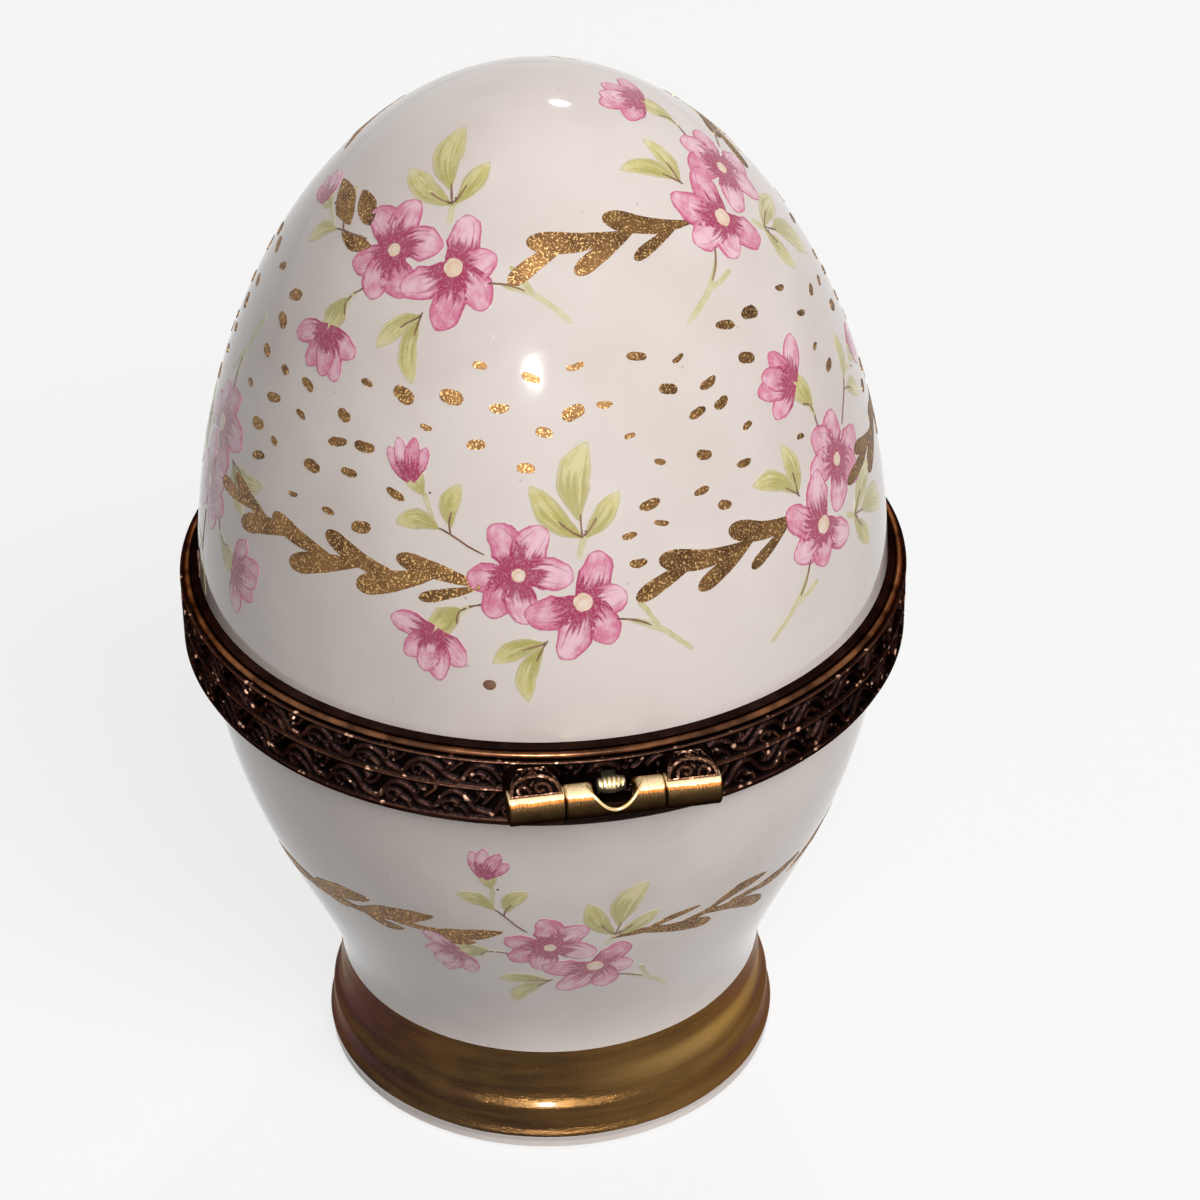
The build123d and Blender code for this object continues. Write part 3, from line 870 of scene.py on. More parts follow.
@dataclass
class PaintLayer:
    """All the marks of one colour on one piece of porcelain, as thin coats that follow its surface."""

    outline: Outline
    rise: float
    across: int
    seed: int
    step: float = 0.0007
    sunk: float = 0.05

    def __post_init__(self) -> None:
        """Starts with no marks."""
        self.random = np.random.default_rng(self.seed)
        self.parts = MeshParts()
        self.normals: list[np.ndarray] = []
        self.tops: list[np.ndarray] = []

    def add(self, marks: Sequence[Mark], stamp: Stamp) -> None:
        """Lays marks, each a little over the one before.

        Args:
            marks: The marks.
            stamp: Where they go.
        """
        for order, mark in enumerate(marks):
            flat, known = mark.grid(self.across, self.random)
            ground = stamp.wrap(flat, self.outline)
            ways = self.outline.normals(ground)
            top = ground + ways * (self.rise + order * self.step)
            row = self.across + 1
            low, rows = len(top), len(top) // row
            left = np.arange(rows) * row
            right = left + self.across
            sides = np.concatenate([left, right])
            under = ground[sides] - ways[sides] * self.sunk
            front, walls = self.faces(rows, low)
            tone = self.random.uniform()
            held = np.concatenate([np.column_stack([known, np.full(low, tone)]),
                                   np.zeros((2 * rows, 3)) + (0.5, 1.0, tone)])
            self.parts.add(np.concatenate([top, under]), front + walls, held)
            self.tops.append(top)
            self.normals += [ways[list(face)] for face in front]
            self.normals += [np.full((len(face), 3), np.nan) for face in walls]

    def faces(self, rows: int, low: int) -> tuple[list[tuple[int, ...]], list[tuple[int, ...]]]:
        """The faces of one coat: its front, and the walls and the back that close it.

        Args:
            rows: How many rows of points its front has.
            low: The first of the points along its two lower edges.

        Returns:
            The front's faces and the others.
        """
        row, last = self.across + 1, rows - 1
        front = [(a + row, a + row + 1, a + 1, a)
                 for start in range(0, last * row, row) for a in range(start, start + self.across)]
        walls = []
        for step in range(last):
            left, right, near, far = step * row, step * row + self.across, low + step, low + rows + step
            walls.append((left, left + row, near + 1, near))
            walls.append((right + row, right, far, far + 1))
            walls.append((near, near + 1, far + 1, far))
        walls.append((*range(0, row), low + rows, low))
        walls.append((*range(rows * row - 1, last * row - 1, -1), low + last, low + rows + last))
        return front, walls

    def piece(self, name: str, material: bpy.types.Material, body: str) -> None:
        """Makes the layer into a piece that takes the light as the glaze under it does."""
        mesh = self.parts.piece(name, material, body, held_name="brush").data
        wanted = np.concatenate(self.normals)
        faces = np.zeros(len(mesh.polygons) * 3, dtype=np.float32)
        mesh.polygons.foreach_get("normal", faces)
        totals = np.zeros(len(mesh.polygons), dtype=np.int32)
        mesh.polygons.foreach_get("loop_total", totals)
        own = np.repeat(faces.reshape(-1, 3), totals, axis=0)
        mesh.normals_split_custom_set(np.where(np.isnan(wanted), own, wanted).tolist())


@dataclass
class FlowerSpray:
    """The printed spray, flat and in millimetres: two open flowers, a half flower, a bud and leaves."""

    hearts: tuple[Point, ...] = ((-2.0, 0.9), (2.0, -1.0))
    tips: tuple[tuple[Point, ...], ...] = (
        ((-3.77, 4.12), (-0.15, 3.92), (-5.29, 0.91), (-3.78, -2.05), (-1.22, -2.34), (1.41, 0.43)),
        ((2.97, 2.40), (4.79, -0.48), (3.72, -4.02), (0.48, -4.79), (-1.74, -1.60)),
    )
    petal_width: float = 2.3
    half_flower: Point = (-7.55, -3.2)
    half_width: float = 1.7
    bud: Point = (-8.8, 6.8)

    @staticmethod
    def strokes(brush: Brush, *rows: tuple[float, ...]) -> list[Mark]:
        """Marks of one brush: each row holds the points of a line, one after another, and then its width."""
        return [Mark(tuple(zip(row[:-1:2], row[1:-1:2])), row[-1], brush) for row in rows]

    def petals(self) -> list[Mark]:
        """The petals of the flowers, the half flower and the bud."""
        made = []
        for heart, tips in zip(self.hearts, self.tips):
            for tip in tips:
                lean = 0.10 * (1 if (tip[0] + tip[1]) % 1 > 0.5 else -1)
                bend = ((heart[0] + tip[0]) / 2 - lean * (tip[1] - heart[1]),
                        (heart[1] + tip[1]) / 2 + lean * (tip[0] - heart[0]))
                made.append(Mark((heart, bend, tip), self.petal_width, Brush.PETAL))
        for tip in ((-10.48, -2.44), (-5.48, -5.41), (-9.52, -5.04), (-7.17, -6.62), (-8.21, -6.06)):
            made.append(Mark((self.half_flower, tip), self.half_width, Brush.PETAL))
        for tip, width in (((-10.2, 8.9), 1.0), ((-7.6, 8.9), 1.0), ((-9.5, 9.5), 1.1), ((-8.4, 9.5), 1.1)):
            middle = ((-8.9 + tip[0]) / 2 + 0.12 * (tip[0] + 8.9), (6.9 + tip[1]) / 2)
            made.append(Mark((self.bud, middle, tip), width, Brush.PETAL))
        return made

    def heart_spots(self) -> list[Mark]:
        """The hearts of the two open flowers, a few dabs each."""
        made = []
        for (x, y), radius in zip(self.hearts, (0.50, 0.70)):
            for turn in (0.3, 1.7, 2.9, 4.4, 5.4):
                near = (x - 0.45 * radius * math.cos(turn), y - 0.45 * radius * math.sin(turn))
                far = (x + 0.9 * radius * math.cos(turn), y + 0.9 * radius * math.sin(turn))
                made.append(Mark((near, far), 1.25 * radius, Brush.DOT))
        return made

    def specks(self) -> list[Mark]:
        """The brown specks at the roots of the leaves."""
        spots = ((2.05, 3.35, 0.20), (2.25, 3.62, 0.14), (-7.5, 6.05, 0.18), (-6.25, 3.5, 0.16),
                 (-0.45, -3.7, 0.16))
        return [Mark(((x - size / 2, y), (x + size / 2, y + 0.05)), size * 0.8, Brush.SPOT)
                for x, y, size in spots]

    def leaves(self) -> list[Mark]:
        """The leaves, and the green cups under the bud and the half flower."""
        return self.strokes(
            Brush.LEAF, (1.88, 4.3, 1.55, 6.9, 2.45, 9.23, 2.15), (2.05, 3.2, 0.25, 4.6, -1.17, 6.6, 1.7),
            (2.25, 3.2, 3.3, 4.5, 4.42, 6.05, 1.45), (-6.17, 3.9, -6.25, 5.4, -5.46, 6.68, 1.4),
            (-6.95, 3.75, -8.5, 4.35, -9.93, 3.94, 1.4), (-0.4, -3.7, -2.2, -4.1, -3.77, -5.14, 1.4),
            (-0.5, -3.9, -1.6, -5.8, -1.52, -7.8, 1.4), (-7.9, 5.9, -8.4, 6.7, -8.75, 7.7, 1.3),
            (-5.8, -1.4, -6.7, -2.25, -7.85, -3.35, 1.9))

    def washes(self) -> list[Mark]:
        """The pale stems, laid on as a thin wash."""
        return self.strokes(
            Brush.STEM, (2.15, 3.4, 2.0, 2.7, 1.75, 1.9, 0.42), (-7.93, 6.13, -7.5, 4.9, -7.28, 4.14, 0.34),
            (-5.0, -1.2, -5.65, -1.6, -5.95, -2.1, 0.36), (5.0, -2.45, 6.5, -3.05, 9.25, -5.25, 0.4),
            (5.6, -1.3, 6.3, -2.2, 7.05, -3.45, 0.38))

    def veins(self) -> list[Mark]:
        """The fine brown lines of the stems and at the roots of the leaves."""
        return self.strokes(
            Brush.STEM, (2.05, 3.2, 1.98, 3.9, 1.95, 4.75, 0.13), (2.0, 3.3, 1.2, 3.75, 0.55, 4.35, 0.13),
            (2.15, 3.35, 2.6, 3.9, 2.95, 4.45, 0.14), (-6.25, 3.5, -6.3, 4.2, -6.15, 4.9, 0.12),
            (-7.0, 3.85, -6.2, 3.42, -5.3, 2.85, -4.1, 2.2, 0.12), (-4.4, -1.1, -5.2, -1.3, 0.12),
            (-5.35, -1.4, -5.85, -1.7, -6.0, -2.5, 0.12), (4.1, -2.3, 5.3, -2.5, 6.4, -3.0, 0.13),
            (-0.25, -3.5, -0.6, -4.1, -1.0, -4.9, 0.11), (-0.4, -3.75, -1.2, -3.95, -1.9, -4.2, 0.11))

    def left_twig(self) -> list[Mark]:
        """The gilt twig that trails to the left: pairs of blunt lobes, each pair rooted in the one before."""
        return self.strokes(
            Brush.LOBE, (-4.15, 0.12, -6.9, 0.85, -9.95, 1.72, 1.25),
            (-4.4, 0.05, -6.5, -0.5, -8.5, -0.95, 0.82), (-7.0, 0.8, -9.8, 0.1, -12.95, -0.72, 1.6),
            (-9.4, 0.25, -12.2, 0.95, -15.25, 2.7, 1.35), (-12.3, 0.9, -15.2, 0.45, -18.65, -0.3, 1.6),
            (-15.0, 1.0, -17.6, 1.7, -20.3, 3.0, 1.45), (-17.9, 1.9, -20.9, 1.95, -24.2, 1.3, 1.6),
            (-20.4, 2.1, -22.9, 3.35, -25.1, 5.1, 1.2), (-22.6, 2.9, -25.0, 3.4, -27.6, 4.15, 1.25))

    def right_twig(self) -> list[Mark]:
        """The shorter gilt twig on the right, whose lobes point back at the spray."""
        return self.strokes(
            Brush.LOBE, (18.3, 2.55, 15.4, 2.0, 11.95, 2.65, 1.5),
            (17.2, 2.15, 15.5, 0.85, 13.75, -0.5, 0.88), (14.3, 2.05, 12.1, 0.45, 9.7, -1.15, 1.2),
            (13.5, 1.5, 10.4, 0.95, 6.95, 1.38, 1.5), (9.9, 1.15, 7.8, 0.15, 5.45, -1.2, 1.15))

    def bowl_left_twig(self) -> list[Mark]:
        """The gilt twig left of the bowl's spray, whose blades point at the flowers."""
        stems = self.strokes(
            Brush.STEM, (-24.0, -6.1, -20.4, -3.2, -17.2, -1.4, -14.8, -0.3, 0.62),
            (-13.4, 0.5, -10.8, 1.2, -8.4, 1.5, 0.62))
        return stems + self.strokes(
            Brush.LEAF, (-27.0, -8.6, -23.6, -4.4, -20.4, -2.4, 1.5),
            (-21.3, -3.6, -17.9, -0.1, -15.0, 1.8, 1.8), (-19.7, -2.9, -18.2, -2.2, -17.1, -2.0, 0.7),
            (-16.6, -1.2, -12.9, 1.5, -9.9, 3.3, 1.7), (-15.6, -0.9, -13.9, -0.8, -12.2, -0.1, 0.9),
            (-10.6, 1.1, -7.8, 1.9, -4.9, 3.2, 1.35), (-9.7, 0.7, -8.1, 0.8, -6.8, 1.2, 0.8))

    def bowl_right_twig(self) -> list[Mark]:
        """The gilt twig right of the bowl's spray, which forks twice as it goes."""
        stems = self.strokes(
            Brush.STEM, (7.6, 1.2, 9.2, 1.5, 10.8, 1.7, 0.62), (11.8, 1.0, 13.2, 0.7, 14.6, 0.2, 0.62))
        blades = self.strokes(
            Brush.LEAF, (4.9, 2.15, 7.3, 2.8, 9.3, 2.85, 0.6), (9.8, 1.6, 12.3, 2.3, 15.3, 1.8, 1.1),
            (13.4, 0.7, 16.6, -0.4, 19.4, -0.8, 1.05), (2.6, 2.0, 4.6, 2.2, 6.8, 1.9, 0.6))
        return stems + blades + self.strokes(
            Brush.LOBE, (4.6, 2.2, 7.4, 1.25, 10.3, -0.1, 1.25), (9.7, 1.5, 12.3, 0.3, 15.2, -2.7, 1.25))

    def three_blades(self) -> list[Mark]:
        """Three separate gilt leaves that lie over the bud's stem."""
        return self.strokes(
            Brush.LEAF, (-7.25, 8.1, -6.4, 5.7, -5.7, 3.7, 1.8), (-4.85, 6.1, -4.3, 4.5, -3.9, 3.1, 1.6),
            (-6.4, 3.4, -5.2, 2.25, -3.8, 1.55, 1.15))


@dataclass
class Decoration:
    """Everything that is painted on one piece of porcelain."""

    outline: Outline
    body: str
    name: str
    finishes: "Finishes"
    stamps: Sequence[Stamp]
    twigs: Sequence[tuple[list[Mark], Sequence[Stamp]]]
    flaws: Sequence[Stamp] = ()
    spray: FlowerSpray = field(default_factory=FlowerSpray)

    def make(self) -> None:
        """Lays the sprays, the gilt twigs and the gold dots."""
        spray, finishes = self.spray, self.finishes
        layers = (
            ("stems", 0.018, 2, spray.washes(), finishes.wash),
            ("leaves", 0.022, 6, spray.leaves(), finishes.leaf),
            ("veins", 0.032, 2, spray.veins(), finishes.vein),
            ("petals", 0.030, 8, spray.petals(), finishes.petal),
            ("hearts", 0.050, 6, spray.heart_spots(), finishes.heart),
            ("specks", 0.046, 4, spray.specks(), finishes.vein),
        )
        taken = []
        for order, (kind, rise, across, marks, material) in enumerate(layers):
            layer = PaintLayer(self.outline, rise, across, 100 + order)
            for stamp in self.stamps:
                layer.add(marks, stamp)
            if kind == "specks":
                for stamp in self.flaws:
                    layer.add([Mark(((-0.42, 0), (0.42, 0.04)), 0.72, Brush.SPOT)], stamp)
            layer.piece(f"{self.name}_painted_{kind}", material, self.body)
            taken += layer.tops
        gilding = PaintLayer(self.outline, 0.030, 4, 7)
        for marks, stamps in self.twigs:
            for stamp in stamps:
                gilding.add(marks, stamp)
        gilding.piece(f"{self.name}_gilt_twigs", finishes.gilding, self.body)
        self.scatter(np.concatenate(taken + gilding.tops))

    def scatter(self, taken: np.ndarray) -> None:
        """Nothing is scattered unless a piece of porcelain says so."""


@dataclass
class LidDecoration(Decoration):
    """The lid's painting, with gold dots strewn between its two garlands."""

    low: float = 52.5
    high: float = 66.0
    across_step: float = 3.25
    up_step: float = 2.15
    across_play: float = 0.24
    up_play: float = 0.55
    keep_off: float = 0.95
    lengths: tuple[float, float] = (0.7, 1.6)
    slimness: tuple[float, float] = (0.36, 0.66)
    tilt: float = 24.0
    bow: float = 0.12

    def scatter(self, taken: np.ndarray) -> None:
        """Strews gold dots where no spray or twig lies.

        Args:
            taken: Points that the sprays and twigs cover.
        """
        random = np.random.default_rng(38)
        layer = PaintLayer(self.outline, 0.04, 4, 5)
        heights, line = self.outline.heights, self.outline.radii
        arc = np.concatenate([[0], np.cumsum(np.hypot(np.diff(heights), np.diff(line)))])
        start, end = np.interp([self.low, self.high], heights, arc)
        for row, along in enumerate(np.arange(start, end, self.up_step)):
            height = float(np.interp(along, arc, heights))
            count = max(6, round(TURN * float(self.outline.radius(height)) / self.across_step))
            for place in range(count):
                play = random.uniform(-self.across_play, self.across_play)
                azimuth = (place + 0.5 * (row % 2) + play) * 360 / count
                spot = float(np.interp(along + random.uniform(-self.up_play, self.up_play), arc, heights))
                length = random.uniform(*self.lengths)
                slim = random.uniform(*self.slimness)
                stamp = Stamp(azimuth, spot, random.uniform(-self.tilt, self.tilt))
                middle = stamp.wrap(np.zeros((1, 2)), self.outline)
                if np.min(np.linalg.norm(taken - middle, axis=1)) < self.keep_off:
                    continue
                bow = random.uniform(-self.bow, self.bow)
                mark = Mark(((-length / 2, 0), (0, bow), (length / 2, 0)), length * slim, Brush.DOT)
                layer.add([mark], stamp)
        layer.piece(f"{self.name}_gilt_dots", self.finishes.gilding, self.body)


# The porcelain

@dataclass
class PorcelainLid:
    """The egg's upper half: an outline that is a little slimmer than an ellipse towards its tip."""

    foot: float = 40.9
    tip: float = 76.0
    radius: float = 23.66
    wall: float = 2.2
    taper: float = 0.039
    rim_radius: float = 22.8
    rim_inner: float = 21.1
    rim_foot: float = 38.75
    segments: int = 240

    def outside(self) -> np.ndarray:
        """The outside from the mount up to the tip."""
        angle = np.linspace(0, math.pi / 2, 91)
        share = np.sin(angle)
        radii = self.radius * np.cos(angle) * (1 - self.taper * share)
        radii[-1] = 0
        return np.stack([radii, self.foot + share * (self.tip - self.foot)], axis=1)

    def outline(self) -> Outline:
        """The outside as radius against height."""
        return Outline(self.outside())

    def make(self, finishes: "Finishes") -> None:
        """Turns the lid and lets it stand for its node."""
        outside = self.outside()
        inner = inset(outside[10:84:6], self.wall)
        inside = smooth_line([(self.rim_inner, self.foot), *map(tuple, inner), (0, self.tip - self.wall)],
                             (0, 1), (-1, 0), 40)
        rebate = np.array([(self.rim_radius, self.foot), (self.rim_radius, self.rim_foot),
                           (self.rim_inner, self.rim_foot)])
        loop = np.concatenate([outside[::-1], rebate, inside])
        made = lathe(loop, self.segments).piece("porcelain_lid", finishes.porcelain, "lid", "porcelain")
        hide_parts("lid_shell")


@dataclass
class PorcelainBowl:
    """The egg's lower half, its waist and its flared foot, cast in one."""

    waist: Point = (15.24, 7.55)
    mount: Point = (23.65, 35.1)
    wall: float = 2.2
    rim_radius: float = 22.8
    rim_inner: float = 21.1
    rim_top: float = 37.3
    floor: float = 4.9
    recess: float = 2.3
    well_round: float = 1.67
    ridges: tuple[Point, ...] = ((1.27, 0.30), (3.50, 0.26))
    ridge_below: float = 0.70
    ridge_above: float = 0.38
    ridge_sunk: float = 0.4
    ridge_loss: float = 0.224
    gold_low: float = 1.2
    gold_high: float = 8.15
    gold_rise: float = 0.03
    gold_sunk: float = 0.08
    gold_rows: int = 96
    segments: int = 240

    def side(self) -> np.ndarray:
        """The outside from the waist up to the mount."""
        points = (self.waist, (16.58, 12.91), (18.42, 17.02), (20.63, 22.22), (22.55, 28.66), self.mount)
        return smooth_line(points, (0, 1), (0.14, 1), 61)

    def foot(self) -> np.ndarray:
        """The outside of the foot, from its lower edge up to the waist."""
        swell = smooth_line(((16.17, 0.25), (16.23, 1.7)), (0.06, 0.25), (0, 1), 20)
        flare = smooth_line(((16.23, 1.7), (15.87, 3.69), self.waist), (0, 1), (0, 1), 90)
        line = np.concatenate([swell, flare[1:]])
        for place, height in self.ridges:
            over = line[:, 1] - place
            spread = np.where(over > 0, self.ridge_above, self.ridge_below)
            line[:, 0] += height * (np.exp(-(over / spread) ** 2) - self.ridge_sunk)
        line[:, 0] += self.ridge_loss * np.clip((line[:, 1] - 4.6) / 1.8, 0, 1)
        line[:, 0] += self.ridge_loss * np.clip(1 - (line[:, 1] - 0.25) / 0.5, 0, 1)
        return line

    def outline(self) -> Outline:
        """The whole outside as radius against height."""
        return Outline(np.concatenate([self.foot(), self.side()[1:]]))

    def make(self, finishes: "Finishes") -> None:
        """Turns the bowl and lets it stand for its node."""
        side = self.side()
        inner = inset(side, self.wall)[0:58:5]
        inside = smooth_line([*map(tuple, inner), (self.rim_inner, self.mount[1])], (0, 1), (0, 1), 40)
        well = self.waist[0] - self.wall
        bends = np.linspace(0, math.pi / 2, 9)
        corner = np.stack([well - self.well_round + self.well_round * np.sin(bends),
                           self.floor + self.well_round - self.well_round * np.cos(bends)], axis=1)
        rebate = np.array([(self.rim_inner, self.rim_top), (self.rim_radius, self.rim_top),
                           (self.rim_radius, self.mount[1])])
        under = np.array([(15.92, 0), (13.57, 0), (13.32, self.recess), (0, self.recess)])
        outside = np.concatenate([side[::-1], self.foot()[-2::-1]])
        loop = np.concatenate([[(0, self.floor)], corner, inside, rebate, outside, under])
        made = lathe(loop, self.segments).piece("porcelain_bowl", finishes.porcelain, "base", "porcelain")
        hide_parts("base_bowl")

    def gild_foot(self, finishes: "Finishes") -> None:
        """Brushes gold round the foot, with edges that waver as a brush does."""
        outline = self.outline()
        random = np.random.default_rng(11)
        angles = np.arange(self.segments) * TURN / self.segments
        edges = []
        for edge, depth in ((self.gold_low, 0.10), (self.gold_high, 0.07)):
            edges.append(edge + sum(
                random.normal(0, depth / (2 + number)) * np.sin(number * angles + random.uniform(0, TURN))
                for number in range(1, 14)))
        shares = np.linspace(0, 1, self.gold_rows)[:, None]
        heights = edges[0] + (edges[1] - edges[0]) * shares
        radii = outline.radius(heights)
        coat = self.gold_rise * np.clip(np.minimum(shares, 1 - shares) * 25 + 0.3, 0, 1)
        outer, inner = turned(radii + coat, angles, heights), turned(radii - self.gold_sunk, angles, heights)
        parts = ringed(np.concatenate([outer, inner[::-1]]), joined=True)
        parts.piece("foot_gilding", finishes.foot_gold, "base")


# The mounts

def ridge(spots: np.ndarray, line: np.ndarray, width: float, crest: float, groove: float) -> np.ndarray:
    """How high a chased line stands.

    Args:
        spots: Where it is wanted, one spot in each row.
        line: The points of the line.
        width: Half its width.
        crest: Its height.
        groove: How deep the groove along its crest is, as a share of that height.

    Returns:
        The height at each spot.
    """
    part = np.min(np.hypot(*(spots[:, None] - line[None]).transpose(2, 0, 1)), axis=1) / width
    return crest * np.sqrt(np.clip(1 - part ** 2, 0, 1)) * (1 - groove * np.exp(-(part / 0.30) ** 2))


def sheet(solid: np.ndarray) -> np.ndarray:
    """The faces of a closed sheet round the axis, with a front, a back and walls along every edge.

    Args:
        solid: Which of the cells up and round the sheet are there.

    Returns:
        The corners of each face; the back's points follow the front's.
    """
    rows, count = solid.shape
    row, step = np.nonzero(solid)
    back = (rows + 1) * count
    corners = [row * count + step, row * count + (step + 1) % count,
               (row + 1) * count + (step + 1) % count, (row + 1) * count + step]
    framed = np.pad(solid, ((1, 1), (0, 0)))
    open_sides = (~framed[:-2][row, step], ~np.roll(solid, -1, axis=1)[row, step], ~framed[2:][row, step],
                  ~np.roll(solid, 1, axis=1)[row, step])
    faces = [np.stack(corners, axis=1), np.stack(corners[::-1], axis=1) + back]
    for side, bare in enumerate(open_sides):
        near, far = corners[side][bare], corners[(side + 1) % 4][bare]
        faces.append(np.stack([far, near, near + back, far + back], axis=1))
    return np.concatenate(faces)


@dataclass
class ChasedStrip:
    """A brass strip with a running scroll chased into it, wrapped round the sleeve."""

    name: str
    node: str
    body: str
    low: float
    high: float
    gap: Callable[[np.ndarray, np.ndarray], np.ndarray]
    offset: float
    seed: int
    inner: float = 24.22
    ground: float = 24.74
    proud: float = 0.28
    repeats: int = 40
    columns: int = 40
    rows: int = 26
    edge: float = 0.17
    edge_sunk: float = 0.05
    groove: float = 0.42
    reach: float = 0.95

    def motif(self, random: np.random.Generator) -> list[tuple[np.ndarray, float, float]]:
        """One repeat of the scroll, each line with its width and its height.

        Args:
            random: What its small differences are drawn from.

        Returns:
            Lines across one repeat and up the strip, in shares.
        """
        def line(points: Sequence[Point], width: float, height: float) -> tuple[np.ndarray, float, float]:
            """A line with a little of the hand in it."""
            moved = np.array(points) + random.normal(0, 0.012, (len(points), 2))
            return smooth_line(list(map(tuple, moved)), None, None, 26), width, height

        lift, push = random.normal(0, 0.025, 2)
        crests = 0.85 + random.uniform(-0.15, 0.15, 8)
        arch = [(-0.55, 0.26), (-0.36, 0.16 + lift), (-0.17, 0.56), (0.06, 0.86 + lift), (0.29, 0.60),
                (0.47, 0.22), (0.64, 0.16 + lift)]
        comma = [(0.10, 0.42), (-0.03, 0.50), (-0.13, 0.36), (-0.09, 0.14)]
        facet = [(0.14 + push, 0.34), (0.22, 0.20), (0.27, 0.06)]
        spur = [(0.42, 0.56), (0.47, 0.74), (0.43, 0.93)]
        leaf = [(0.53, 0.52), (0.63, 0.66), (0.73, 0.92)]
        dots = [((0.06 + push, 0.36), 0.072), ((0.52, 0.80 + lift), 0.062), ((-0.02, 0.12), 0.045)]
        lines = [line(arch, 0.062, 1.0), line(comma, 0.040, crests[0]), line(facet, 0.052, crests[1]),
                 line(spur, 0.042, crests[2]), line(leaf, 0.050, crests[3])]
        return lines + [(np.array([spot, spot]), width, crest)
                        for (spot, width), crest in zip(dots, crests[4:])]

    def relief(self, around: np.ndarray, rise: np.ndarray) -> np.ndarray:
        """How high the chasing stands.

        Args:
            around: Places round the strip, counted in repeats.
            rise: Places up the strip, from 0 to 1.

        Returns:
            The height, 0 at the ground and 1 at the crests.
        """
        random = np.random.default_rng(self.seed)
        aspect = (self.high - self.low) / (TURN * self.ground / self.repeats)
        height = np.zeros_like(around)
        for repeat in range(self.repeats):
            lines = self.motif(random)
            offsets = (around - repeat + self.repeats / 2) % self.repeats - self.repeats / 2
            close = np.abs(offsets) < self.reach
            if not close.any():
                continue
            spots = np.stack([offsets[close], rise[close] * aspect], axis=1)
            best = height[close]
            for points, width, crest in lines:
                groove = self.groove if crest == 1.0 else 0.0
                best = np.maximum(best, ridge(spots, points * (1, aspect), width, crest, groove))
            height[close] = best
        return height

    def make(self, finishes: "Finishes") -> None:
        """Makes the strip and lets it stand for its node."""
        count = self.repeats * self.columns
        angles = np.arange(count) * TURN / count - math.pi / 2
        span = self.high - self.low
        shares = np.linspace(0, 1, self.rows + 1)
        edge = self.edge / span
        places, rises = np.meshgrid(np.arange(count) / self.columns + self.offset, shares)
        height = self.relief((places % self.repeats).ravel(), ((rises - edge) / (1 - 2 * edge)).ravel())
        height = height.reshape(places.shape)
        border = np.clip(1.25 - np.minimum(rises, 1 - rises) / edge, 0, 1)
        height = np.maximum(height, np.sqrt(border))
        radii = self.ground + self.proud * height
        radii[[0, -1]] -= self.edge_sunk
        heights = self.low + span * rises
        outer, inner = turned(radii, angles, heights), turned(self.inner, angles, heights)
        points = np.concatenate([outer.reshape(-1, 3), inner.reshape(-1, 3)])
        held = np.zeros((len(points), 3))
        held[:height.size, 0] = height.ravel()
        away = self.gap(outer[..., 0], outer[..., 2]) & (outer[..., 1] < 0)
        aside = np.roll(away, -1, axis=1)
        faces = sheet(~(away[:-1] & away[1:] & aside[:-1] & aside[1:]))
        used = np.unique(faces)
        numbers = np.zeros(len(points), dtype=int)
        numbers[used] = np.arange(len(used))
        parts = MeshParts().add(points[used], numbers[faces].tolist(), held[used])
        made = parts.piece(self.name, finishes.chased, self.body, "aged_brass", "chasing", 180.0)
        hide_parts(self.node)


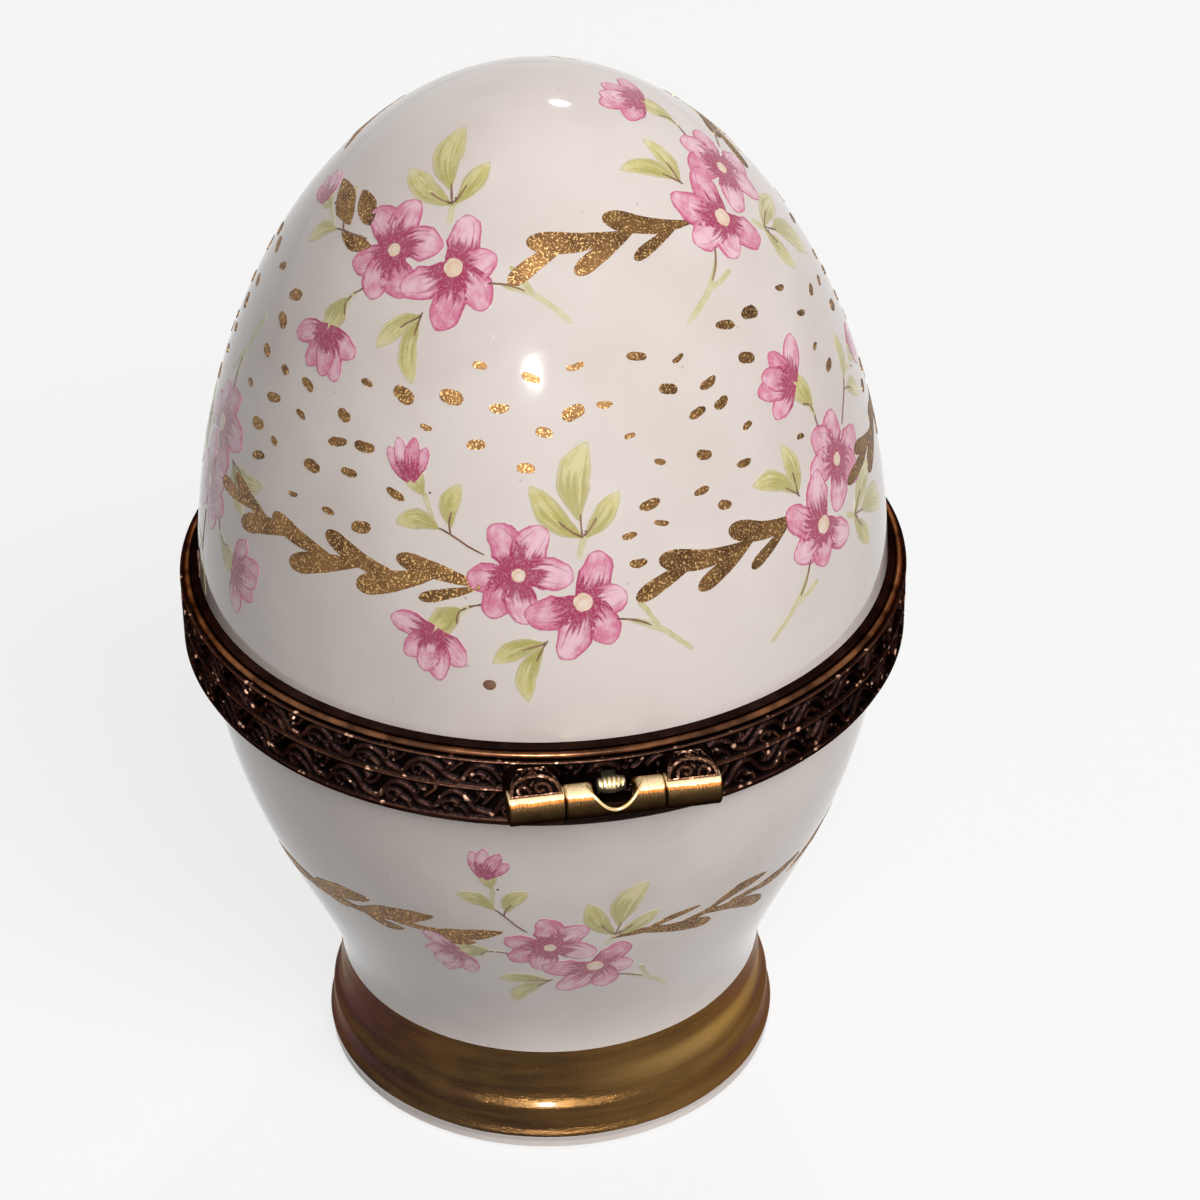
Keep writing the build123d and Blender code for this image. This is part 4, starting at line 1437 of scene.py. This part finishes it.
@dataclass
class ClaspDressing:
    """The chased plates over the leaves of the clasp's side barrels, and the worn lip of its saddle."""

    axis_radius: float = 26.45
    axis_height: float = 38.3
    barrel_radius: float = 1.15
    plate_top: Point = (25.30, 40.05)
    plate_foot: Point = (26.905, 39.356)
    side_low: float = 3.28
    side_high: float = 6.85
    corner: float = 0.9
    margin: float = 0.05
    ledge: float = 0.5
    proud: float = 0.16
    columns: int = 76
    rows: int = 58
    rim: float = 0.13
    rim_height: float = 0.9
    groove: float = 0.35
    lift: float = 0.03
    sunk: float = 0.04
    bend: float = 0.3
    saddle: tuple[Point, ...] = (
        (-2.15, 39.45), (-1.118, 38.765), (0.0, 38.08), (1.118, 38.765), (2.15, 39.45))
    lip_radius: float = 0.12
    lip_half: float = 1.93
    lip_sunk: float = 0.09

    def scroll(self, across: np.ndarray, down: np.ndarray, mirror: int) -> np.ndarray:
        """How high the plate's chasing stands, from a scalloped arch over two curls.

        Args:
            across: Places across the plate, in millimetres from its middle.
            down: Places down from its free edge, in millimetres.
            mirror: -1 for the plate whose curls turn the other way.

        Returns:
            The height, 0 to 1.
        """
        lines = (
            (((-1.60, 1.75), (-1.35, 0.95), (-0.75, 0.42), (0.10, 0.30), (0.95, 0.50), (1.45, 1.05),
              (1.60, 1.75)), 0.15, 1.0),
            (((-0.95, 1.75), (-0.90, 1.15), (-0.45, 0.85), (-0.05, 1.10), (-0.25, 1.45), (-0.50, 1.35)),
             0.13, 0.9),
            (((0.35, 1.75), (0.45, 1.25), (0.80, 0.95), (1.10, 1.25), (0.95, 1.60)), 0.13, 0.85),
            (((-1.65, 0.25), (-1.30, 0.45)), 0.13, 0.7), (((1.60, 0.35), (1.30, 0.30)), 0.13, 0.7),
            (((0.08, 0.72), (0.22, 0.90)), 0.12, 0.8),
            (((-0.62, -0.20), (-0.20, -0.34), (0.10, -0.05)), 0.12, 0.9),
            (((0.34, -0.36), (0.60, -0.12)), 0.13, 0.8), (((-0.20, 0.06), (0.30, 0.10)), 0.10, 0.7),
        )
        height = np.zeros_like(across)
        spots = np.stack([across * mirror, down], axis=-1).reshape(-1, 2)
        for points, width, crest in lines:
            made = ridge(spots, smooth_line(points, None, None, 40), width, crest, self.groove)
            height = np.maximum(height, made.reshape(height.shape))
        return height

    def plate(self, name: str, side: int, finishes: "Finishes") -> None:
        """One chased plate, which lies on the leaf and stands out from it.

        Args:
            name: The piece's name.
            side: -1 for the one at low X, 1 for the other.
            finishes: What the pieces are finished with.
        """
        top, foot = np.array(self.plate_top), np.array(self.plate_foot)
        length = math.dist(self.plate_top, self.plate_foot)
        along = (foot - top) / length
        out = np.array([-along[1], along[0]])
        shares = np.linspace(0, 1, self.rows + 1)[:, None]
        downs = self.margin - self.ledge + (length + self.ledge - self.margin) * shares
        reach = (self.side_high - self.side_low) / 2 - self.margin
        pull = np.clip(self.corner - downs * (top[1] - foot[1]) / length, 0, self.corner - 0.01)
        half = reach - (self.corner - np.sqrt(self.corner ** 2 - pull ** 2))
        acrosses = half * np.linspace(-1, 1, self.columns + 1)
        downs = downs + 0 * acrosses
        height = self.scroll(acrosses, downs, side)
        rim = np.minimum(half - np.abs(acrosses), downs - self.margin + self.ledge)
        rim = np.minimum(rim, length - downs)
        border = np.sqrt(np.clip(1 - (rim / self.rim) ** 2, 0, 1)) * self.rim_height
        height = np.maximum(height, np.where(rim < self.rim, border, 0))
        middle = side * (self.side_low + self.side_high) / 2
        layers = []
        front = self.lift + self.proud * height * np.clip(rim / self.margin, 0.25, 1)
        for lift in (front, np.full_like(height, -self.sunk)):
            level = np.clip(0.5 - downs / self.bend, 0, 1)
            radii = top[0] + np.where(downs < 0, downs, along[0] * downs) + out[0] * lift * (1 - level)
            heights = top[1] + along[1] * np.maximum(downs, 0) + (out[1] * (1 - level) + level) * lift
            layers.append(np.stack([middle + acrosses, -radii, heights], axis=-1).reshape(-1, 3))
        held = np.zeros((2 * height.size, 3))
        held[:height.size, 0] = height.ravel()
        solid = np.arange(self.columns + 1) < np.full((self.rows, 1), self.columns)
        faces, fronts = sheet(solid)[:, ::-1], self.rows * self.columns
        faces[:fronts] = np.roll(faces[:fronts], 1, axis=1)
        parts = MeshParts().add(np.concatenate(layers), faces.tolist(), held)
        parts.piece(name, finishes.plate, "lid", "aged_brass", "chasing", 60.0)

    def lip(self, finishes: "Finishes") -> None:
        """The rounded lip that wear has polished along the front of the saddle."""
        line = smooth_line(self.saddle, (1, 0), (1, 0), 60)
        line = line[np.abs(line[:, 0]) < self.lip_half]
        rise = line[:, 1] - self.axis_height
        depth = np.sqrt(np.clip((self.barrel_radius - self.lip_sunk) ** 2 - rise ** 2, 0, None))
        path = np.stack([line[:, 0], -self.axis_radius - depth, line[:, 1]], axis=1)
        tube(path, self.lip_radius, 12).piece("saddle_lip", finishes.polished, "base", "bright_brass")

    def make(self, finishes: "Finishes") -> None:
        """Makes both plates and the lip."""
        self.plate("clasp_left_plate", -1, finishes)
        self.plate("clasp_right_plate", 1, finishes)
        self.lip(finishes)


@dataclass
class ThumbBead:
    """The bead that a nail presses: a plump bar, fluted over its top and worn smooth below, on its shank."""

    centre: Point = (25.45, 38.64)
    length: float = 1.9
    radius: float = 0.6
    end_share: float = 0.62
    flutes: int = 6
    depth: float = 0.13
    thinnest: float = 0.02
    shank_root: float = 24.1
    shank: Point = (0.42, 0.22)
    steps: int = 72
    sides: int = 32

    def make(self, finishes: "Finishes") -> None:
        """Makes the bead and its shank, and lets them stand for their node."""
        share = -np.cos(np.pi * np.arange(self.steps + 1) / self.steps)
        turns = np.arange(self.sides) * TURN / self.sides
        hollow = np.abs(np.cos(share * self.flutes * math.pi / 2))[:, None] ** 8
        upper = np.clip((np.sin(turns) - 0.15) / 0.35, 0, 1)[None]
        full = self.radius * (1 - (1 - self.end_share) * share ** 2)
        full = full * np.clip((1 - share ** 2) * 6, 0, 1) ** 0.5
        radii = full[:, None] - self.depth * hollow * upper * (full / self.radius)[:, None]
        radii = np.maximum(radii, self.thinnest)
        parts = ringed(np.stack([
            share[:, None] * self.length / 2 + 0 * radii, -self.centre[0] - radii * np.cos(turns),
            self.centre[1] + radii * np.sin(turns)], axis=-1))
        wide, tall = self.shank
        corners = np.array([(x, -y, self.centre[1] + z) for y in (self.shank_root, self.centre[0])
                            for x, z in ((-wide, -tall), (wide, -tall), (wide, tall), (-wide, tall))])
        parts.add(corners, [
            (0, 1, 2, 3), (7, 6, 5, 4), (0, 4, 5, 1), (1, 5, 6, 2), (2, 6, 7, 3), (3, 7, 4, 0)])
        made = parts.piece("thumb_bead", finishes.bead, "catch", "bright_brass")
        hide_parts("clasp_thumb_bead")


def tube(path: np.ndarray, radius: float, sides: int) -> MeshParts:
    """A closed round tube along a path, with tapered ends.

    Args:
        path: The points of its middle.
        radius: Its radius.
        sides: How many sides it has.

    Returns:
        The closed mesh.
    """
    along = np.gradient(path, axis=0)
    along /= np.linalg.norm(along, axis=1)[:, None]
    first = np.cross(along, (0, 1, 0))
    first /= np.linalg.norm(first, axis=1)[:, None]
    second = np.cross(along, first)
    steps = np.arange(len(path))
    size = radius * np.sqrt(np.clip(np.minimum(steps, steps[::-1]) / 4 + 0.15, 0, 1))[:, None, None]
    angles = np.arange(sides) * TURN / sides
    ring = np.cos(angles)[None, :, None] * first[:, None] + np.sin(angles)[None, :, None] * second[:, None]
    return ringed(path[:, None] + size * ring)


@dataclass
class Finishes:
    """The materials of the whole box, made once."""

    def __post_init__(self) -> None:
        """Makes every material."""
        self.porcelain = PorcelainGlaze().material()
        self.petal = PrintedColour(
            "petal_pink", paint(220, 120, 152), paint(244, 200, 212), paint(166, 20, 78), paint(184, 52, 104),
            line_share=0.85).material()
        self.leaf = PrintedColour(
            "leaf_green", paint(207, 194, 114), paint(228, 216, 164), paint(160, 150, 60),
            paint(156, 140, 76), streak_body=1.0, streak_share=0.6, streak_reach=0.85, streak_grain=0.24,
            line_inset=0.9, line_share=0.4, fade=0.35).material()
        self.wash = PrintedColour(
            "stem_wash", paint(200, 193, 136), paint(220, 211, 174), paint(178, 168, 98),
            paint(170, 160, 104), streak_body=0.6, streak_share=0.5, streak_reach=0.3, streak_grain=0.3,
            line_inset=0.9, line_share=0.2, fade=0.4).material()
        self.vein = PrintedColour(
            "vein_brown", paint(116, 72, 50), paint(160, 124, 92), paint(96, 52, 40), paint(104, 62, 46),
            streak_body=1.0, streak_share=0.8, streak_reach=0.3, streak_grain=0.3, line_inset=0.9,
            line_share=0.4).material()
        self.heart = PrintedColour(
            "heart_cream", paint(236, 204, 172), paint(243, 224, 204), paint(228, 176, 150),
            paint(214, 140, 136), streak_body=0.9, streak_share=0.5, streak_reach=0.25, streak_grain=0.3,
            line_inset=0.88, line_share=0.5).material()
        self.gilding = PrintedGilding().material()
        self.foot_gold = FootGilding().material()
        self.chased = ChasedBrass().material()
        # The plates take more painted glints than the strips.
        self.plate = ChasedBrass("plate_brass", paint(20, 12, 10), paint(76, 50, 37), paint(214, 160, 122),
                                 painted_glint_from=0.38, dents=6.0).material()
        self.polished = Brass(
            "polished_brass", paint(250, 218, 160), paint(214, 166, 96), 0.2, 0.14).material()
        self.cement = Cement().material()
        self.mount = Brass("mount_brass", paint(50, 31, 25), paint(22, 13, 11), 0.5, 0.28).material()
        self.wire = Brass("wire_brass", paint(132, 88, 60), paint(50, 32, 24), 0.45, 0.20).material()
        self.barrel = BarrelBrass().material()
        self.bead = Brass("bead_brass", paint(224, 208, 168), paint(168, 146, 104), 0.2, 0.26).material()
        self.pin = Brass("pin_brass", paint(172, 134, 76), paint(90, 60, 34), 0.5, 0.3).material()
        # The tongue is coloured near black as painted shade, for the dark slot that it stands back in behind
        # the bead.
        self.spring = Brass("spring_brass", paint(34, 23, 17), paint(18, 12, 10), 0.5, 0.4).material()


class Mounts:
    """The brass parts that keep their nodes' own shapes, and the strips that are chased."""

    kept: Mapping[str, str] = {
        "base_cement_bed": "cement", "lid_cement_bed": "cement", "base_bezel": "mount", "lid_bezel": "mount",
        "base_edge_wire": "mount", "lid_bead_wire": "wire", "clasp_centre_barrel": "barrel",
        "clasp_left_barrel": "barrel", "clasp_right_barrel": "barrel", "hinge_centre_knuckle": "barrel",
        "hinge_left_knuckle": "barrel", "hinge_right_knuckle": "barrel", "hinge_pin": "pin",
        "clasp_tongue": "spring",
    }

    def make(self, finishes: Finishes) -> None:
        """Finishes the kept parts and makes the strips."""
        for node, finish in self.kept.items():
            self.dress(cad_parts[node], getattr(finishes, finish))
        ClaspDressing().make(finishes)
        ThumbBead().make(finishes)
        ChasedStrip("upper_chased_strip", "lid_chased_strip", "lid", 38.05, 40.2,
                    lambda x, z: (np.abs(x) < 3.2) & (z < 39.26), 0.15, 3).make(finishes)
        ChasedStrip("lower_chased_strip", "base_chased_strip", "base", 35.5, 38.0,
                    lambda x, z: (np.abs(x) < 1.3) & (z > 37.59), 0.62, 4).make(finishes)

    @staticmethod
    def dress(node: bpy.types.Object, material: bpy.types.Material) -> None:
        """Gives every part of a node one material."""
        for slot in node.material_slots:
            slot.material = material
        log.info("%s: %s", node.name, material.name)


# The studio

@dataclass
class Studio:
    """A pale table, lamps, an even world and the camera."""

    camera_at: tuple[float, float, float] = (-36.08, -222.77, 185.6)
    camera_to: tuple[float, float, float] = (3.83, -0.62, 36.05)
    camera_roll: float = -0.4356
    lens: float = 116.8
    sensor: float = 36.0
    clips: tuple[float, float] = (0.01, 20.0)
    fill: float = 0.11
    fill_colour: Colour = (1.0, 0.985, 0.965, 1.0)
    table_seen: Colour = (0.92, 0.91, 0.90, 1.0)
    table_dim: Colour = (0.10, 0.098, 0.096, 1.0)
    table_glow: float = 0.72
    table_radius: float = 3000.0
    table_sides: int = 96

    def make(self) -> None:
        """Sets the camera, the lamps, the world and the table."""
        self.set_camera()
        self.lamp("small_lamp", -12.5, 33.5, 900.0, (40.0, 12.0), 13.0).visible_diffuse = False
        self.lamp("key_lamp", 14.0, 40.0, 1100.0, (1300.0, 800.0), 13.4).visible_glossy = False
        self.lamp("far_lamp", 175.0, 20.0, 1100.0, (1000.0, 500.0), 2.8).visible_glossy = False
        self.lamp("back_lamp", 160.0, 48.0, 900.0, (90.0, 50.0), 1.0)
        self.set_world()
        self.set_table()
        bpy.context.scene.view_settings.view_transform = "Standard"

    def set_camera(self) -> None:
        """The camera, where the photograph was taken from."""
        data = bpy.data.cameras.new("camera")
        data.lens, data.sensor_width = self.lens, self.sensor
        data.clip_start, data.clip_end = self.clips
        camera = bpy.data.objects.new("camera", data)
        ahead = (Vector(self.camera_to) - Vector(self.camera_at)).normalized()
        right = ahead.cross(Vector((0, 0, 1))).normalized()
        up = right.cross(ahead)
        roll = math.radians(self.camera_roll)
        right, up = right * math.cos(roll) + up * math.sin(roll), up * math.cos(roll) - right * math.sin(roll)
        turned = Matrix((right, up, -ahead)).transposed().to_4x4()
        camera.matrix_world = Matrix.Translation(Vector(self.camera_at) * MM) @ turned
        bpy.context.scene.collection.objects.link(camera)
        bpy.context.scene.camera = camera

    def lamp(self, name: str, azimuth: float, elevation: float, distance: float, size: Point,
             power: float) -> bpy.types.Object:
        """Adds an oval soft lamp that faces the middle of the box.

        Args:
            name: The lamp's name.
            azimuth: Its direction from the clasp, in degrees.
            elevation: Its height over the table, in degrees.
            distance: How far it is from the box.
            size: Its width and its height.
            power: Its power in watts.

        Returns:
            The lamp.
        """
        data = bpy.data.lights.new(name, "AREA")
        data.shape, data.size, data.size_y, data.energy = "ELLIPSE", size[0] * MM, size[1] * MM, power
        lamp = bpy.data.objects.new(name, data)
        turn, rise = math.radians(azimuth), math.radians(elevation)
        way = Vector((math.sin(turn) * math.cos(rise), -math.cos(turn) * math.cos(rise), math.sin(rise)))
        lamp.location = (way * distance + Vector((0, 0, SEAM))) * MM
        lamp.rotation_mode = "QUATERNION"
        lamp.rotation_quaternion = way.to_track_quat("Z", "Y")
        bpy.context.scene.collection.objects.link(lamp)
        return lamp

    def seen(self, tree: NodeTree) -> Signal:
        """The test for rays that show the background: straight, mirrored or through glass."""
        path = tree.node("ShaderNodeLightPath")
        straight, mirrored, through = (
            Signal(tree, path.outputs[f"Is {way} Ray"]) for way in ("Camera", "Glossy", "Transmission"))
        return straight.most(mirrored).most(through)

    def set_world(self) -> None:
        """An even world, white where it is seen."""
        world = bpy.data.worlds.new("studio_world")
        world.use_nodes = True
        tree = NodeTree(world.node_tree)
        plain, white = (tree.signal("ShaderNodeBackground", None, {"Color": colour, "Strength": strength})
                        for colour, strength in ((self.fill_colour, self.fill), ((1.0, 1.0, 1.0, 1.0), 1.0)))
        both = tree.signal("ShaderNodeMixShader", None, {0: self.seen(tree), 1: plain, 2: white})
        tree.node("ShaderNodeOutputWorld", None, {"Surface": both})
        bpy.context.scene.world = world

    def set_table(self) -> None:
        """A wide pale table that keeps the box's shadow."""
        mesh = bpy.data.meshes.new("table")
        turns = np.arange(self.table_sides) * TURN / self.table_sides
        ring = turned(self.table_radius * MM, turns, np.zeros(self.table_sides))
        mesh.from_pydata(ring.tolist(), [], [tuple(range(self.table_sides))])
        material = bpy.data.materials.new("table_white")
        material.use_nodes = True
        tree = NodeTree(material.node_tree)
        matt, dim = (tree.signal("ShaderNodeBsdfDiffuse", None, {"Color": colour})
                     for colour in (self.table_seen, self.table_dim))
        white = tree.signal("ShaderNodeEmission", None, {"Strength": 1.0})
        pale = tree.signal("ShaderNodeMixShader", None, {0: self.table_glow, 1: matt, 2: white})
        both = tree.signal("ShaderNodeMixShader", None, {0: self.seen(tree), 1: dim, 2: pale})
        tree.node("ShaderNodeOutputMaterial", None, {"Surface": both})
        mesh.materials.append(material)
        table = bpy.data.objects.new("table", mesh)
        bpy.context.scene.collection.objects.link(table)


def main() -> None:
    """Builds the box round its frame."""
    logging.basicConfig(level=logging.INFO, format="%(name)s %(message)s")
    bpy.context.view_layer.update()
    Studio().make()
    finishes = Finishes()
    lid, bowl = PorcelainLid(), PorcelainBowl()
    lid.make(finishes)
    bowl.make(finishes)
    bowl.gild_foot(finishes)
    lower, upper = SEAM + 13.9, SEAM + 31.7
    front, tip = Stamp(-8.1, SEAM + 13.71), Stamp(-41.7, SEAM + 31.38, 25.0)
    sprays = [
        front, Stamp(48.4, SEAM + 14.04, -108.0), Stamp(-85.0, SEAM + 14.0, 115.0),
        Stamp(125.0, lower), Stamp(181.8, lower, -108.0), tip,
        Stamp(60.2, SEAM + 32.10, -129.0), Stamp(168.0, upper, 25.0),
    ]
    spray = FlowerSpray()
    lid_twigs = (
        (spray.left_twig(), [front, Stamp(125.0, lower), Stamp(-95.0, lower)]),
        (spray.right_twig(), [front, Stamp(125.0, lower), Stamp(-39.2, SEAM + 30.13, 28.0),
                              Stamp(62.0, SEAM + 30.4, 28.0), Stamp(170.0, SEAM + 30.4, 28.0)]),
        (spray.three_blades(), [tip, Stamp(168.0, upper, 25.0)]),
    )
    flaws = [Stamp(-17.9, SEAM + 7.06)]
    LidDecoration(lid.outline(), "lid", "lid", finishes, sprays, lid_twigs, flaws).make()
    spots = ((-4.8, SEAM - 17.70), (122.0, SEAM - 16.5), (-150.0, SEAM - 16.5))
    bowl_sprays, bowl_twigs = ([Stamp(*spot, turn, 0.965) for spot in spots] for turn in (-18.0, 0.0))
    Decoration(bowl.outline(), "base", "bowl", finishes, bowl_sprays,
               ((spray.bowl_left_twig(), bowl_twigs), (spray.bowl_right_twig(), bowl_twigs))).make()
    Mounts().make(finishes)


if __name__ == "__main__":
    main()
